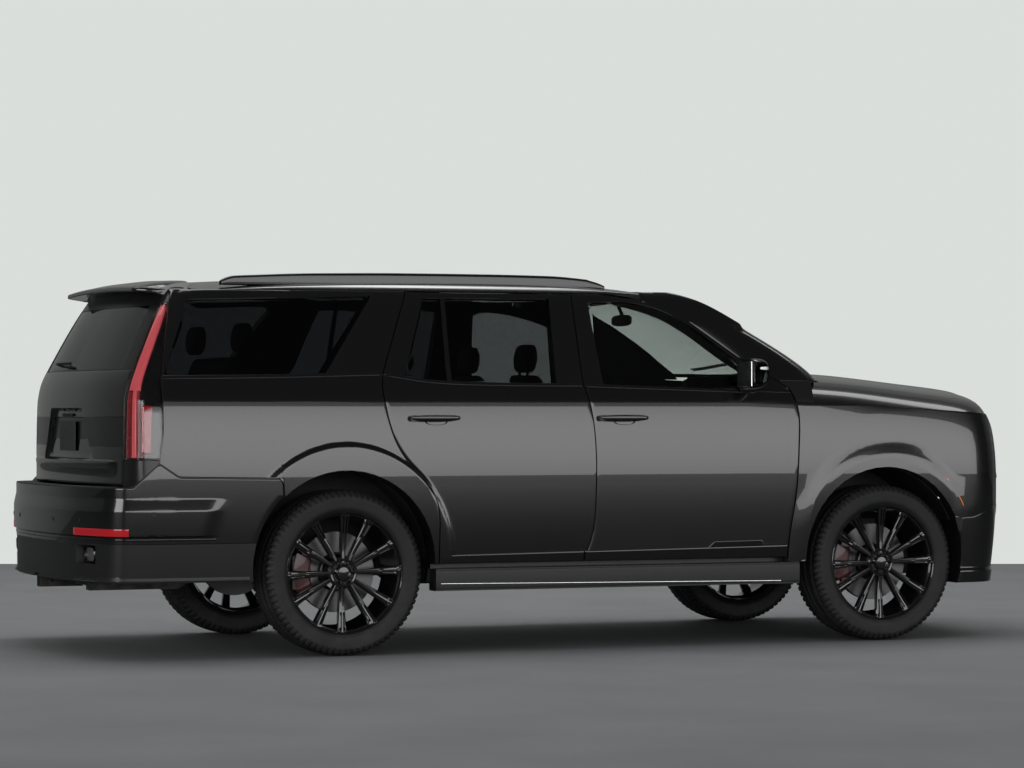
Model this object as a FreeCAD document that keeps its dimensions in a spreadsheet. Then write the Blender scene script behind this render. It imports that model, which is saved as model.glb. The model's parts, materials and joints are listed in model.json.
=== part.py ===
"""A full-size sport utility vehicle as an assembly of separate pieces, in millimetres.

+X points to the nose, +Y to the left side and +Z up. The origin lies on the ground, under the
middle of the overall length. The body is drawn as a left half and mirrored.
"""
import FreeCAD
import Part
import os
from math import cos, pi, sin

V = FreeCAD.Vector
doc = FreeCAD.newDocument("suv")

# Driving sizes, in millimetres or degrees
SIZES = (
    ("wheelbase", 3071.0), ("rear_overhang", 1330.0), ("front_overhang", 981.0),
    ("body_width", 2059.0), ("track", 1738.0), ("overall_height", 1948.0),
    ("tyre_radius", 419.0), ("tyre_width", 285.0), ("rim_radius", 305.0), ("rim_wall", 12.0),
    ("hub_radius", 72.0), ("brake_radius", 205.0), ("brake_thickness", 34.0),
    ("arch_radius", 482.0), ("arch_lift", 36.0),
    ("skin_bottom", 400.0), ("waist_height", 900.0), ("crease_height", 1283.0),
    ("crease_inset", 18.0), ("belt_height", 1390.0), ("belt_inset", 63.0),
    ("gutter_height", 1852.0), ("gutter_inset", 211.0), ("sill_inset", 30.0),
    ("roof_height", 1938.0), ("gate_inset", 150.0), ("cowl_x", 230.0),
    ("skin_depth", 16.0), ("door_depth", 80.0), ("ring_depth", 92.0), ("wall_depth", 135.0),
    ("door_gap", 12.0), ("door_bottom", 458.0), ("flange", 45.0), ("box_inset", 30.0),
    ("b_pillar_x", 1756.0), ("glass_depth", 26.0), ("glass_thickness", 5.0),
    ("hood_thickness", 30.0), ("roof_thickness", 40.0), ("roof_half_width", 690.0),
    ("floor_height", 530.0), ("floor_thickness", 50.0), ("load_floor_height", 830.0),
    ("rail_height", 130.0), ("rail_width", 80.0), ("rail_spread", 410.0), ("rail_bottom", 330.0),
    ("hitch_half", 25.4), ("hitch_wall", 6.4), ("hitch_pin_radius", 8.1), ("hitch_length", 180.0),
    ("board_height", 112.0), ("board_bottom", 318.0), ("board_width", 96.0),
    ("engine_length", 620.0), ("engine_width", 560.0), ("engine_height", 620.0),
    ("kingpin_offset", 40.0), ("nose_bottom", 300.0), ("tail_bottom", 385.0),
    ("hinge_back", 56.0), ("hinge_depth", 16.0), ("pin_radius", 6.0), ("pin_clearance", 0.3),
    ("hinge_low", 790.0), ("hinge_high", 1130.0), ("hinge_height", 26.0), ("gate_gap", 18.0),
    ("gate_skin", 12.0),
    ("gate_hinge_y", 470.0), ("hood_hinge_y", 720.0), ("liner_thickness", 5.0), ("seat_gap", 0.3),
    ("kick_up", 170.0), ("board_setback", 26.0), ("bracket_height", 32.0),
    ("tip_low", 486.0), ("tip_height", 74.0), ("tip_y", 600.0), ("tip_width", 180.0),
    ("grille_depth", 28.0), ("grille_frame", 34.0), ("plate_recess", 24.0),
    ("handle_length", 240.0), ("handle_low", 1186.0),
    ("spoke_count", 12.0), ("cap_radius", 34.0), ("lug_radius", 9.0),
)
sheet = doc.addObject("Spreadsheet::Sheet", "Sizes")
for row_number, (alias, value) in enumerate(SIZES, 1):
    sheet.set("A%d" % row_number, alias)
    sheet.set("B%d" % row_number, str(value))
    sheet.setAlias("B%d" % row_number, alias)
doc.recompute()


def size(alias):
    """One driving size, read from the sheet."""
    return float(getattr(sheet, alias))


REAR_AXLE = size("rear_overhang") - (size("wheelbase") + size("rear_overhang") + size("front_overhang")) / 2
FRONT_AXLE = REAR_AXLE + size("wheelbase")
HUB = size("tyre_radius")
HALF = size("body_width") / 2
TAIL = REAR_AXLE - size("rear_overhang")
NOSE = FRONT_AXLE + size("front_overhang")
GATE = TAIL + size("gate_inset")
FAR = 4000.0
SIDES = {"left": 1, "right": -1}


def rear(distance):
    """An x position, given ahead of the rear axle."""
    return REAR_AXLE + distance


def front(distance):
    """An x position, given ahead of the front axle."""
    return FRONT_AXLE + distance


B_PILLAR = front(-size("b_pillar_x"))


def clamped(count, degree):
    """Knots and multiplicities of a clamped spline with this many poles."""
    spans = count - degree
    return list(range(spans + 1)), [degree + 1] + [1] * (spans - 1) + [degree + 1]


def patch(rows):
    """A spline surface over a grid of poles, cubic where there are enough of them."""
    up = min(3, len(rows) - 1)
    along = min(3, len(rows[0]) - 1)
    up_knots, up_mults = clamped(len(rows), up)
    along_knots, along_mults = clamped(len(rows[0]), along)
    surface = Part.BSplineSurface()
    surface.buildFromPolesMultsKnots(rows, up_mults, along_mults, up_knots, along_knots,
                                     False, False, up, along)
    return surface


def rim_edges(surface, poles):
    """The four border edges of a patch: low, top, rear and front."""
    up_knots, _ = clamped(len(poles), min(3, len(poles) - 1))
    along_knots, _ = clamped(len(poles[0]), min(3, len(poles[0]) - 1))
    return (surface.uIso(up_knots[0]).toShape(), surface.uIso(up_knots[-1]).toShape(),
            surface.vIso(along_knots[0]).toShape(), surface.vIso(along_knots[-1]).toShape())


def strips(surface, poles):
    """A patch as straight strips between its curves at the knots, for walls out of sight."""
    knots, _ = clamped(len(poles), min(3, len(poles) - 1))
    curves = [surface.uIso(knot).toShape() for knot in knots]
    return [Part.makeRuledSurface(low, high) for low, high in zip(curves[:-1], curves[1:])]


def hull(bands, smooth=True):
    """The left half of a closed body. Each band is a list of rows of poles, low to high, and
    each row is three stretches: the tail with its corner, the flank and the front corner."""
    faces = []
    low_edges = []
    top_edges = []
    tail_edges = []
    nose_edges = []
    for number, band in enumerate(bands):
        for stretch in range(3):
            poles = [row[stretch] for row in band]
            surface = patch(poles)
            low, top, back, ahead = rim_edges(surface, poles)
            faces.extend([surface.toShape()] if smooth else strips(surface, poles))
            if number == 0:
                low_edges.append(low)
            if number == len(bands) - 1:
                top_edges.append(top)
            if stretch == 0:
                tail_edges.append(back)
            if stretch == 2:
                nose_edges.append(ahead)
    low_line = Part.makeLine(bands[0][0][0][0], bands[0][0][2][-1])
    top_line = Part.makeLine(bands[-1][-1][0][0], bands[-1][-1][2][-1])
    faces.append(Part.Face(Part.Wire(low_edges + [low_line])))
    faces.append(Part.Face(Part.Wire(top_edges + [top_line])))
    if not smooth:
        tail_edges = middle_edges(bands, 0, 0)
        nose_edges = middle_edges(bands, 2, -1)
    middle = tail_edges + nose_edges + [low_line, top_line]
    faces.append(Part.Face(Part.Wire(Part.__sortEdges__(middle))))
    shell = Part.makeShell(faces)
    shell.sewShape()
    solid = Part.makeSolid(shell)
    if solid.Volume < 0:
        solid.reverse()
    return solid


def middle_edges(bands, stretch, end):
    """Straight border edges of the strips, on the plane of symmetry."""
    edges = []
    for band in bands:
        poles = [row[stretch] for row in band]
        surface = patch(poles)
        knots, _ = clamped(len(poles), min(3, len(poles) - 1))
        along, _ = clamped(len(poles[0]), min(3, len(poles[0]) - 1))
        points = [surface.value(knot, along[end]) for knot in knots]
        edges += [Part.makeLine(low, high) for low, high in zip(points[:-1], points[1:])]
    return edges


def plan_row(height, width, tail_x, nose_x, bows, corners, drops, depth):
    """Poles of one plan outline, set in by a depth. The bows are how far the corners lie from
    the middle of the tail and nose, and the drops lower the front corner's poles."""
    side = width - depth
    tail = tail_x + depth
    nose = nose_x - depth
    tail_bow, nose_bow = bows
    tail_corner, nose_corner = corners
    flank_rear = rear(150.0)
    flank_front = front(-820.0)
    back = [(tail, 0), (tail, 0.40 * side), (tail + 0.6 * tail_bow, 0.78 * side),
            (tail + tail_bow, side - 0.35 * tail_corner),
            (tail + tail_bow + 0.9 * tail_corner, side - 0.06 * tail_corner),
            (rear(-400.0), side), (flank_rear, side)]
    flank = [(flank_rear, side), (flank_front, side)]
    wing_length = nose - nose_bow - nose_corner - flank_front
    ahead = [(flank_front, side), (flank_front + 0.35 * wing_length, side),
             (nose - nose_bow - 0.9 * nose_corner, side - 0.06 * nose_corner),
             (nose - nose_bow, side - 0.35 * nose_corner),
             (nose - 0.6 * nose_bow, 0.70 * side), (nose, 0.36 * side), (nose, 0)]
    lowered = [0.0, 0.2 * drops, 0.7 * drops, 0.9 * drops, drops, drops, drops]
    return ([V(x, y, height) for x, y in back], [V(x, y, height) for x, y in flank],
            [V(x, y, height - fall) for (x, y), fall in zip(ahead, lowered)])


def body_bands(depth, nosed, tailed=False):
    """Rows of the body at a depth under its outer skin. The nosed body runs out to the nose,
    the other ends at the windscreen, and the tailed one reaches the rear bumper's skin."""
    waist = size("waist_height")
    crease = size("crease_height")
    belt = size("belt_height")
    gutter = size("gutter_height")
    floor_line = size("nose_bottom") if nosed else size("tail_bottom") if tailed else size("skin_bottom")
    bottom = floor_line - 0.4 * depth
    sill = HALF - size("sill_inset")
    crease_width = HALF - size("crease_inset")
    belt_width = HALF - size("belt_inset")
    gutter_width = HALF - size("gutter_inset")
    cowl = front(-size("cowl_x"))
    thin = 0.62
    lower = [
        (bottom, sill, 0, 30, 0), (0.5 * (size("skin_bottom") + waist) - 90, HALF - 9, 0, 0, 0),
        (waist - 100, HALF + 2, 0, 0, 0), (waist + 130, HALF + 2, 0, 0, 0.5),
        (crease - 80, HALF - 8, 0, 22, 1.0), (crease, crease_width, 2, 45, 1.0),
    ]
    slope = (belt_width - gutter_width) / (gutter - belt)
    upper = [
        (crease, crease_width, 2, 45, 1.0), (belt - 30, belt_width + 22, 8, 80, 1.0),
        (belt + 20, belt_width - 4, 22, 110, 0.6), (belt + 150, belt_width - 150 * slope, 85, 280, 0),
        (belt + 310, belt_width - 310 * slope, 165, 560, 0), (gutter - 22, gutter_width + 7, 245, 780, 0),
        (gutter + 20, gutter_width - 24, 275, 1000, 0), (gutter + 46, gutter_width - 70, 300, 1120, 0),
        (gutter + 70 + depth, gutter_width - 170, 330, 1250, 0),
    ]
    bands = []
    for band in (lower, upper):
        rows = []
        for height, width, tail_in, nose_in, drop in band:
            share = 1.0 if height <= belt else max(thin, 1 - (height - belt) / 460 * (1 - thin))
            tail_x = TAIL if tailed else GATE + tail_in
            if tailed and height > waist + 200:
                tail_x = TAIL + 40
            nose_x = NOSE - nose_in if nosed else cowl - max(0, nose_in - 110)
            bows = (150 if tailed else 95, 240 if nosed else 115)
            corners = (150 if tailed else 110, 190 if nosed else 80)
            drops = 75 * drop if nosed else 0
            rows.append(plan_row(height, width, tail_x, nose_x, bows, corners, drops, depth * share))
        bands.append(rows)
    return bands


def sheet_block(poles, down):
    """The space below a smooth top sheet, lowered by a distance, y >= 0."""
    lowered = [[V(p.x, p.y, p.z - down) for p in row] for row in poles]
    return patch(lowered).toShape().extrude(V(0, 0, -FAR))


def hood_poles():
    """The hood's top sheet: a profile from cowl to leading edge, crowned across and swept back."""
    profile = [(-760, 1462), (-430, 1456), (-150, 1447), (140, 1421), (440, 1388), (690, 1364), (850, 1337),
               (915, 1275), (960, 1150), (1015, 900)]
    across = [(0, 0), (450, -6), (800, -40), (930, -84), (1015, -190), (1060, -330)]
    length = profile[-1][0] - profile[0][0]
    rows = []
    for x, z in profile:
        swept = 270e-6 * (x - profile[0][0]) / length
        rows.append([V(front(x) - swept * y * y, y, z + fall) for y, fall in across])
    return rows


def roof_poles():
    """The roof's top sheet: a long crown, falling to the windscreen and to the tailgate."""
    top = size("roof_height")
    profile = [(rear(-1500), -105), (rear(-850), -48), (rear(-200), -8), (rear(700), 4),
               (front(-1750), 2), (front(-1230), -36), (front(-850), -110), (front(-200), -260)]
    across = [(0, 0), (450, -8), (780, -42), (1150, -120)]
    return [[V(x, y, top + z + fall) for y, fall in across] for x, z in profile]


def grown(runs, grow):
    """Runs of points moved outwards by a distance, each along the mitre of its two neighbours."""
    points = [point for run in runs for point in run]
    count = len(points)
    area = sum(points[i - 1][0] * points[i][1] - points[i][0] * points[i - 1][1] for i in range(count))
    turn = grow if area > 0 else -grow
    moved = []
    for i, (x, z) in enumerate(points):
        before = points[i - 1]
        after = points[(i + 1) % count]
        first = V(x - before[0], z - before[1], 0).normalize()
        second = V(after[0] - x, after[1] - z, 0).normalize()
        scale = turn / (1 + first.dot(second))
        moved.append((x + scale * (first.y + second.y), z - scale * (first.x + second.x)))
    shaped = []
    for run in runs:
        shaped.append(moved[:len(run)])
        moved = moved[len(run):]
    return shaped


def outline(runs, grow=0.0):
    """A closed side-view outline on the plane y = 0, moved outwards by a distance. A run of one
    point is reached by a straight line, a longer one by a smooth curve."""
    shaped = grown(runs, grow) if grow else list(runs)
    edges = []
    start = V(shaped[-1][-1][0], 0, shaped[-1][-1][1])
    for run in shaped:
        points = [start] + [V(x, 0, z) for x, z in run]
        if len(points) == 2:
            edges.append(Part.makeLine(points[0], points[1]))
        else:
            curve = Part.BSplineCurve()
            curve.interpolate(points)
            edges.append(curve.toShape())
        start = points[-1]
    return Part.Wire(edges)


def side_prism(wire, low=0.0, high=1300.0):
    """A side-view outline carried across the left half."""
    face = Part.Face(wire)
    face.translate(V(0, low, 0))
    return face.extrude(V(0, high - low, 0))


def polygon_prism(points, direction, start):
    """A prism over a polygon of (a, b) points: seen along x it is (y, z), along z it is (x, y)."""
    if direction == "x":
        corners = [V(start[0], a, b) for a, b in points]
        run = V(start[1] - start[0], 0, 0)
    else:
        corners = [V(a, b, start[0]) for a, b in points]
        run = V(0, 0, start[1] - start[0])
    return Part.Face(Part.makePolygon(corners + [corners[0]])).extrude(run)


def block(x, y, z):
    """A plain block between pairs of x, y and z."""
    return Part.makeBox(x[1] - x[0], y[1] - y[0], z[1] - z[0], V(x[0], y[0], z[0]))


def mirrored(shape):
    """The right-hand twin of a left-hand shape."""
    return shape.mirror(V(0, 0, 0), V(0, 1, 0))


def both(shape):
    """A shape and its right-hand twin, joined where they meet."""
    return shape.fuse(mirrored(shape))


def pair(shape):
    """A shape and its right-hand twin, which don't touch."""
    return Part.makeCompound([shape, mirrored(shape)])


def largest(shape):
    """The largest solid of a shape, without the offcuts."""
    return max(shape.Solids, key=lambda solid: solid.Volume)


NODES = []


def add(label, shape):
    """A sub-part whose shape is worked out from the sizes."""
    item = doc.addObject("Part::Feature", label)
    item.Shape = shape
    item.Label = label
    NODES.append(item)
    return item


# Formulas over the sheet, for the sub-parts that follow it by themselves
REAR = "(Sizes.rear_overhang - Sizes.front_overhang - Sizes.wheelbase) / 2"
FRONT = "(Sizes.rear_overhang - Sizes.front_overhang + Sizes.wheelbase) / 2"
HALF_WIDTH = "Sizes.body_width / 2"


def bound_box(label, x, y, z):
    """A box between pairs of formulas for x, y and z."""
    item = doc.addObject("Part::Box", label)
    for axis, length, (low, high) in zip("xyz", ("Length", "Width", "Height"), (x, y, z)):
        item.setExpression("Placement.Base." + axis, low)
        item.setExpression(length, "(%s) - (%s)" % (high, low))
    return item


def bound_drum(label, radius, base, height):
    """A cylinder along +Y from formulas for its radius, base corner and height."""
    item = doc.addObject("Part::Cylinder", label)
    item.Placement = FreeCAD.Placement(V(0, 0, 0), FreeCAD.Rotation(V(1, 0, 0), -90))
    for axis, formula in zip("xyz", base):
        item.setExpression("Placement.Base." + axis, formula)
    item.setExpression("Radius", radius)
    item.setExpression("Height", height)
    return item


def bound_join(label, items):
    """Several sub-parts as one."""
    item = doc.addObject("Part::MultiFuse", label)
    item.Shapes = items
    return item


def bound_cut(label, base, tool):
    """A sub-part without what another takes away."""
    item = doc.addObject("Part::Cut", label)
    item.Base = base
    item.Tool = tool
    return item


def bound_pair(label, item):
    """A left-hand sub-part with its right-hand twin, as a node."""
    twin = doc.addObject("Part::Mirroring", label + "_twin")
    twin.Source = item
    twin.Normal = V(0, 1, 0)
    node = doc.addObject("Part::Compound", label)
    node.Links = [item, twin]
    node.Label = label
    NODES.append(node)
    return node


# Body shells, from the outer skin inwards
skin = size("skin_depth")
cabin = hull(body_bands(0, False))
under_skin = hull(body_bands(skin, False), False)
door_inside = hull(body_bands(size("door_depth"), False), False)
ring_outside = hull(body_bands(size("ring_depth"), False), False)
cabin_inside = hull(body_bands(size("wall_depth"), False), False)
nose = hull(body_bands(0, True))
nose_inside = hull(body_bands(60, True), False)
nose_deep = hull(body_bands(110, True), False)
below_roof = sheet_block(roof_poles(), 0)
below_ceiling = sheet_block(roof_poles(), size("roof_thickness"))
below_hood = sheet_block(hood_poles(), 0)
below_lining = sheet_block(hood_poles(), size("hood_thickness"))

outer_shell = cabin.common(below_roof).cut(door_inside)
ring_shell = ring_outside.cut(cabin_inside).common(below_ceiling)

# Shut lines and windows, seen from the side
gap = size("door_gap")
seat = size("seat_gap")
door_bottom = size("door_bottom")
b_pillar_line = [
    [(B_PILLAR, 1373)],
    [(B_PILLAR + 24, 1283), (B_PILLAR + 50, 1088), (B_PILLAR + 52, 752), (B_PILLAR + 38, 598),
     (B_PILLAR - 12, door_bottom)],
]
front_door_line = [[(B_PILLAR, 1846)]] + b_pillar_line + [
    [(front(-585), door_bottom)],
    [(front(-575), 585), (front(-546), 759), (front(-522), 1078), (front(-528), 1265), (front(-562), 1350)],
    [(front(-671), 1420), (front(-833), 1515), (front(-1096), 1704), (front(-1364), 1813),
     (front(-1652), 1844)],
]
rear_door_line = [[(B_PILLAR, 1846)]] + b_pillar_line + [
    [(rear(500), door_bottom)],
    [(rear(500), 600), (rear(488), 756), (rear(424), 883), (rear(316), 996), (rear(208), 1295),
     (rear(204), 1337), (rear(216), 1423)],
    [(rear(392), 1846)],
]
front_window_line = [
    [(front(-1667), 1800)], [(front(-1639), 1362)], [(front(-760), 1335)], [(front(-852), 1500)],
    [(front(-1156), 1721), (front(-1291), 1778), (front(-1499), 1812)],
]
rear_window_line = [
    [(rear(482), 1815)], [(rear(333), 1408)], [(rear(588), 1379)], [(B_PILLAR - 147, 1371)],
    [(B_PILLAR - 128, 1818)],
]
quarter_window_line = [
    [(rear(-772), 1792)], [(rear(-937), 1403)], [(rear(-97), 1410)], [(rear(200), 1820)],
]
axle_x = {"front": FRONT_AXLE, "rear": REAR_AXLE}


def arch(axle, grow=0.0):
    """The round space over a wheel, on the left side."""
    radius = size("arch_radius") + grow
    height = HUB + size("arch_lift")
    inner = 505.0 if axle == "front" else 690.0
    return Part.makeCylinder(radius, 700, V(axle_x[axle], inner, height), V(0, 1, 0))


def door(line, window):
    """A door as thick as the real one: an outer skin, an inner box set in, and its window cut."""
    skin_part = cabin.cut(under_skin).common(side_prism(outline(line, -gap / 2)))
    box_part = under_skin.cut(door_inside).common(side_prism(outline(line, -gap / 2 - size("box_inset"))))
    whole = skin_part.fuse(box_part).common(below_roof)
    return largest(whole.cut(side_prism(outline(window))))


def handle(edge):
    """A strap handle with two feet on a door's skin, behind a shut line's x."""
    half = size("handle_length") / 2
    x = edge + 40 + half
    low = size("handle_low")
    skin_y = HALF - 6
    foot_x = half - 18
    strap = [(x - half, skin_y + 22), (x - half + 12, skin_y + 36), (x + half - 12, skin_y + 36),
             (x + half, skin_y + 22)]
    bar = polygon_prism(strap, "z", (low, low + 26))
    feet = [block((x + at - 14, x + at + 14), (skin_y - 6, skin_y + 24), (low + 2, low + 24))
            for at in (-foot_x, foot_x)]
    return bar.fuse(feet)


def pane(line):
    """Window glass that fills an opening, set in from the skin."""
    depth = size("glass_depth")
    inner_face = hull(body_bands(depth + size("glass_thickness"), False), False)
    sheet_part = hull(body_bands(depth, False)).cut(inner_face)
    return largest(sheet_part.common(side_prism(outline(line))))


AXES = {"x": V(1, 0, 0), "y": V(0, 1, 0), "z": V(0, 0, 1)}


def rod(radius, length, base, direction):
    """A round bar from its base along x, y or z."""
    return Part.makeCylinder(radius, length, base, AXES[direction])


def hinge_axis(edge):
    """Where a door's hinge line stands, from the x of its front edge."""
    return edge - gap / 2 - size("hinge_back"), HALF - size("hinge_depth")


def hinge_parts(edge):
    """Eyes of the door, brackets with pins of the body, and the room that both need."""
    x, y = hinge_axis(edge)
    tall = size("hinge_height")
    pin = size("pin_radius")
    eyes = []
    brackets = []
    rooms = []
    for z in (size("hinge_low"), size("hinge_high")):
        rooms.append(block((x - 24, x + 75), (y - 80, y + 10), (z - tall - 12, z + tall + 14)))
        eye = block((x - 40, x + 10), (y - 10, y + 9), (z - tall, z))
        eyes.append(eye.cut(rod(pin + size("pin_clearance"), 2 * tall, V(x, y, z - tall - 5), "z")))
        bracket = block((x - 12, x + 2), (y - 90, y + 3), (z + 2, z + tall + 2))
        foot = block((x - 12, x + 45), (y - 95, y - 66), (z + 2, z + tall + 2))
        brackets.append(bracket.fuse([foot, rod(pin, 2 * tall, V(x, y, z - tall + 2), "z")]))
    return eyes, brackets, rooms


# Doors and their glass
door_edges = {"front": front(-524), "rear": B_PILLAR + 51}
handle_edges = {"front": B_PILLAR + 30, "rear": rear(300)}
doors = {
    "front": (front_door_line, front_window_line),
    "rear": (rear_door_line, rear_window_line),
}
for place, (line, window) in doors.items():
    leaf = door(line, window)
    eyes, brackets, rooms = hinge_parts(door_edges[place])
    leaf = leaf.cut(rooms).fuse(eyes + [handle(handle_edges[place])])
    glass = pane(window)
    for side, sign in SIDES.items():
        add("door_%s_%s" % (place, side), leaf if sign > 0 else mirrored(leaf))
        add("door_glass_%s_%s" % (place, side), glass if sign > 0 else mirrored(glass))

# Tailgate, seen from behind: its edges run inside the tall lamps
gate_edge = [(0, 868), (842, 868), (852, 1390), (716, 1800), (700, 1960), (0, 1960)]
gate_window = [(0, 1440), (742, 1440), (655, 1765), (0, 1765)]
gate_front = rear(-735)
gate_range = (TAIL - 200, gate_front)
lamp_side_line = [
    [(rear(-952), 990)], [(rear(-952), 1390)], [(rear(-862), 1775)], [(TAIL - 50, 1775)],
    [(TAIL - 50, 990)],
]
gate_hole = polygon_prism(gate_edge, "x", gate_range)
gate_grown = [(0, 859), (851, 859), (861, 1390), (725, 1804), (709, 1970), (0, 1970)]
gate_hole_grown = polygon_prism(gate_grown, "x", (TAIL - 200, gate_front + size("gate_gap")))
lamp_space = side_prism(outline(lamp_side_line), 600).cut(gate_hole_grown)
lamp_shell = cabin.cut(hull(body_bands(45, False), False))
lamp = largest(lamp_shell.common(lamp_space))
bumper_top_line = [
    [(TAIL - 50, 855)], [(rear(-1100), 855)], [(rear(-977), 975)], [(rear(-874), 905)], [(rear(-330), 896)],
    [(rear(-330), 300)], [(TAIL - 50, 300)],
]

door_front_edge = [
    [(front(-585 + gap), door_bottom - 40)], [(front(-585 + gap), door_bottom)],
    [(front(-575 + gap), 585), (front(-546 + gap), 759), (front(-522 + gap), 1078),
     (front(-528 + gap), 1265), (front(-562 + gap), 1350)],
    [(front(-562 + gap), 1800)], [(NOSE, 1800)], [(NOSE, 300)], [(front(-585 + gap), 300)],
]
nose_shell = nose.cut(nose_inside).common(below_hood)

# Body sides with pillars, sills and quarter panels
quarter_hole = side_prism(outline(quarter_window_line))
roof_half = size("roof_half_width")
cant_rail = cabin.common(below_roof).cut(below_ceiling)
cant_rail = cant_rail.common(block((gate_front, front(-1165)), (roof_half + seat, 1300), (1700, 2100)))
side_body = outer_shell.fuse(cant_rail)
for line in (front_door_line, rear_door_line):
    side_body = side_body.cut(side_prism(outline(line, gap / 2)))
side_ring = ring_shell
for line in (front_door_line, rear_door_line):
    side_ring = side_ring.cut(side_prism(outline(line, -size("flange"))))
bridge = door_inside.cut(ring_outside).common(below_ceiling)
side_bridge = bridge
for line in (front_door_line, rear_door_line):
    side_bridge = side_bridge.cut(side_prism(outline(line, gap)))
side_body = side_body.fuse([side_bridge, side_ring])
screen_zone = [(0, 1300), (868, 1300), (868, 1392), (705, 1868), (640, 1990), (0, 1990)]
roof_zone = block((gate_front, front(-700)), (0, roof_half + seat), (1700, 2100))
side_body = side_body.cut(polygon_prism(screen_zone, "x", (front(-1480), NOSE)))
side_body = side_body.cut(block((front(-1480), NOSE), (0, 600), (1800, 2100)))
side_body = side_body.cut(roof_zone)
side_body = side_body.cut(gate_hole_grown)
side_body = side_body.cut(lamp_space.common(lamp_shell))
side_body = side_body.cut(side_prism(outline(bumper_top_line, seat)))
side_body = side_body.cut(quarter_hole)
side_body = side_body.cut(nose_shell.common(side_prism(outline(door_front_edge), 560)))
side_body = side_body.cut(block((front(-420), NOSE), (0, 1300), (300, 1395)))
side_body = side_body.cut(block((TAIL - 200, NOSE), (0, 700), (0, 1300)))
sill_zone = block((rear(400), front(-500)), (HALF - size("ring_depth"), 1300), (0, door_bottom - 4))
side_body = side_body.cut(sill_zone)
board_top = size("board_bottom") + size("board_height")
board_out = HALF - size("board_setback")
board_in = board_out - size("board_width")
side_body = side_body.cut(block((rear(400), front(-500)), (board_in - seat, 1300), (0, board_top + seat)))
for axle in axle_x:
    side_body = side_body.cut(arch(axle))
for edge in door_edges.values():
    side_body = side_body.fuse(hinge_parts(edge)[1])
side_body = largest(side_body)
for side, sign in SIDES.items():
    add("body_side_" + side, side_body if sign > 0 else mirrored(side_body))
add("tail_lamps", pair(lamp))

# Roof, windscreen and fixed side glass
screen_line = [(0, 1452), (400, 1446), (860.8, 1412), (706.7, 1862), (0, 1862)]
screen_shell = cabin.cut(hull(body_bands(size("glass_thickness") + 1, False)))
screen_prism = polygon_prism(screen_line, "x", (front(-1400), front(-50)))
screen = largest(screen_shell.common(screen_prism).common(below_roof))
quarter_pane = pane(quarter_window_line)
add("windscreen", both(screen))
add("quarter_glass", pair(quarter_pane))
roof_slab = cabin.common(below_roof).cut(below_ceiling)
roof_span = (gate_front + size("gate_gap"), front(-1165))
roof_slab = roof_slab.common(block(roof_span, (0, size("roof_half_width")), (1700, 2100)))
gate_pin = 5.0
ear_inner = size("gate_hinge_y") + 4
roof_ear = block((gate_front - 18, gate_front + size("gate_gap") + 5), (ear_inner, ear_inner + 24),
                 (1873, 1887))
roof_pin = rod(gate_pin, 50, V(gate_front - 10, size("gate_hinge_y") - 26, 1880), "y")
roof_slab = largest(roof_slab).fuse([roof_ear, roof_pin])
add("roof_panel", both(roof_slab))

# Tailgate with its window and the spoiler along its top edge
gate_shell = cabin.common(below_roof).cut(door_inside)
gate = gate_shell.common(gate_hole).cut(polygon_prism(gate_window, "x", gate_range))
plate_zone = [(0, 985), (470, 985), (300, 1250), (0, 1250)]
plate_recess = cabin.cut(hull(body_bands(size("plate_recess"), False), False))
gate = gate.cut(plate_recess.common(polygon_prism(plate_zone, "x", gate_range)))
gate_core = hull(body_bands(size("gate_skin"), False), False)
gate_flank = [(900, 1200), (852, 1200), (818, 1390), (682, 1800), (666, 1960), (900, 1960)]
gate = gate.cut(gate_core.common(polygon_prism(gate_flank, "x", gate_range)))
gate_top = cabin.common(below_roof).cut(below_ceiling).common(
    block((TAIL, gate_front), (0, 700), (1700, 2100)))
gate = gate.fuse(gate_top)
spoiler_row = [(0, -1008), (420, -1000), (690, -965), (712, -900), (712, -735), (0, -735)]
spoiler_plan = polygon_prism([(rear(x), y) for y, x in spoiler_row], "z", (1780, 1990))
wing_profile = [
    [(rear(-735), 1905)], [(rear(-735), 1866)], [(rear(-900), 1838)], [(rear(-1008), 1846)],
    [(rear(-1010), 1864)], [(rear(-900), 1886)],
]
wing = side_prism(outline(wing_profile), 0, 720).common(spoiler_plan)
wing = wing.common(sheet_block(roof_poles(), -4))
gate = gate.fuse(wing)
gate_axis = (gate_front - 10, 1880)
hinge_at = size("gate_hinge_y")
gate = gate.cut(block((gate_axis[0] - 26, gate_axis[0] + 12), (hinge_at - 30, hinge_at + 34), (1840, 1990)))
gate_eye = block((gate_axis[0] - 27, gate_axis[0] + 7), (hinge_at - 31, hinge_at), (1871, 1887))
gate_eye = gate_eye.cut(rod(gate_pin + size("pin_clearance"), 90,
                            V(gate_axis[0], hinge_at - 60, gate_axis[1]), "y"))
gate = largest(gate).fuse(gate_eye)
add("tailgate", both(largest(gate)))
gate_depth = size("glass_depth") - 12
gate_pane = hull(body_bands(gate_depth, False)).cut(
    hull(body_bands(gate_depth + size("glass_thickness"), False)))
gate_pane = gate_pane.common(polygon_prism(gate_window, "x", (TAIL - 200, rear(-700)))).cut(wing)
add("tailgate_glass", both(largest(gate_pane)))

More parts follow.
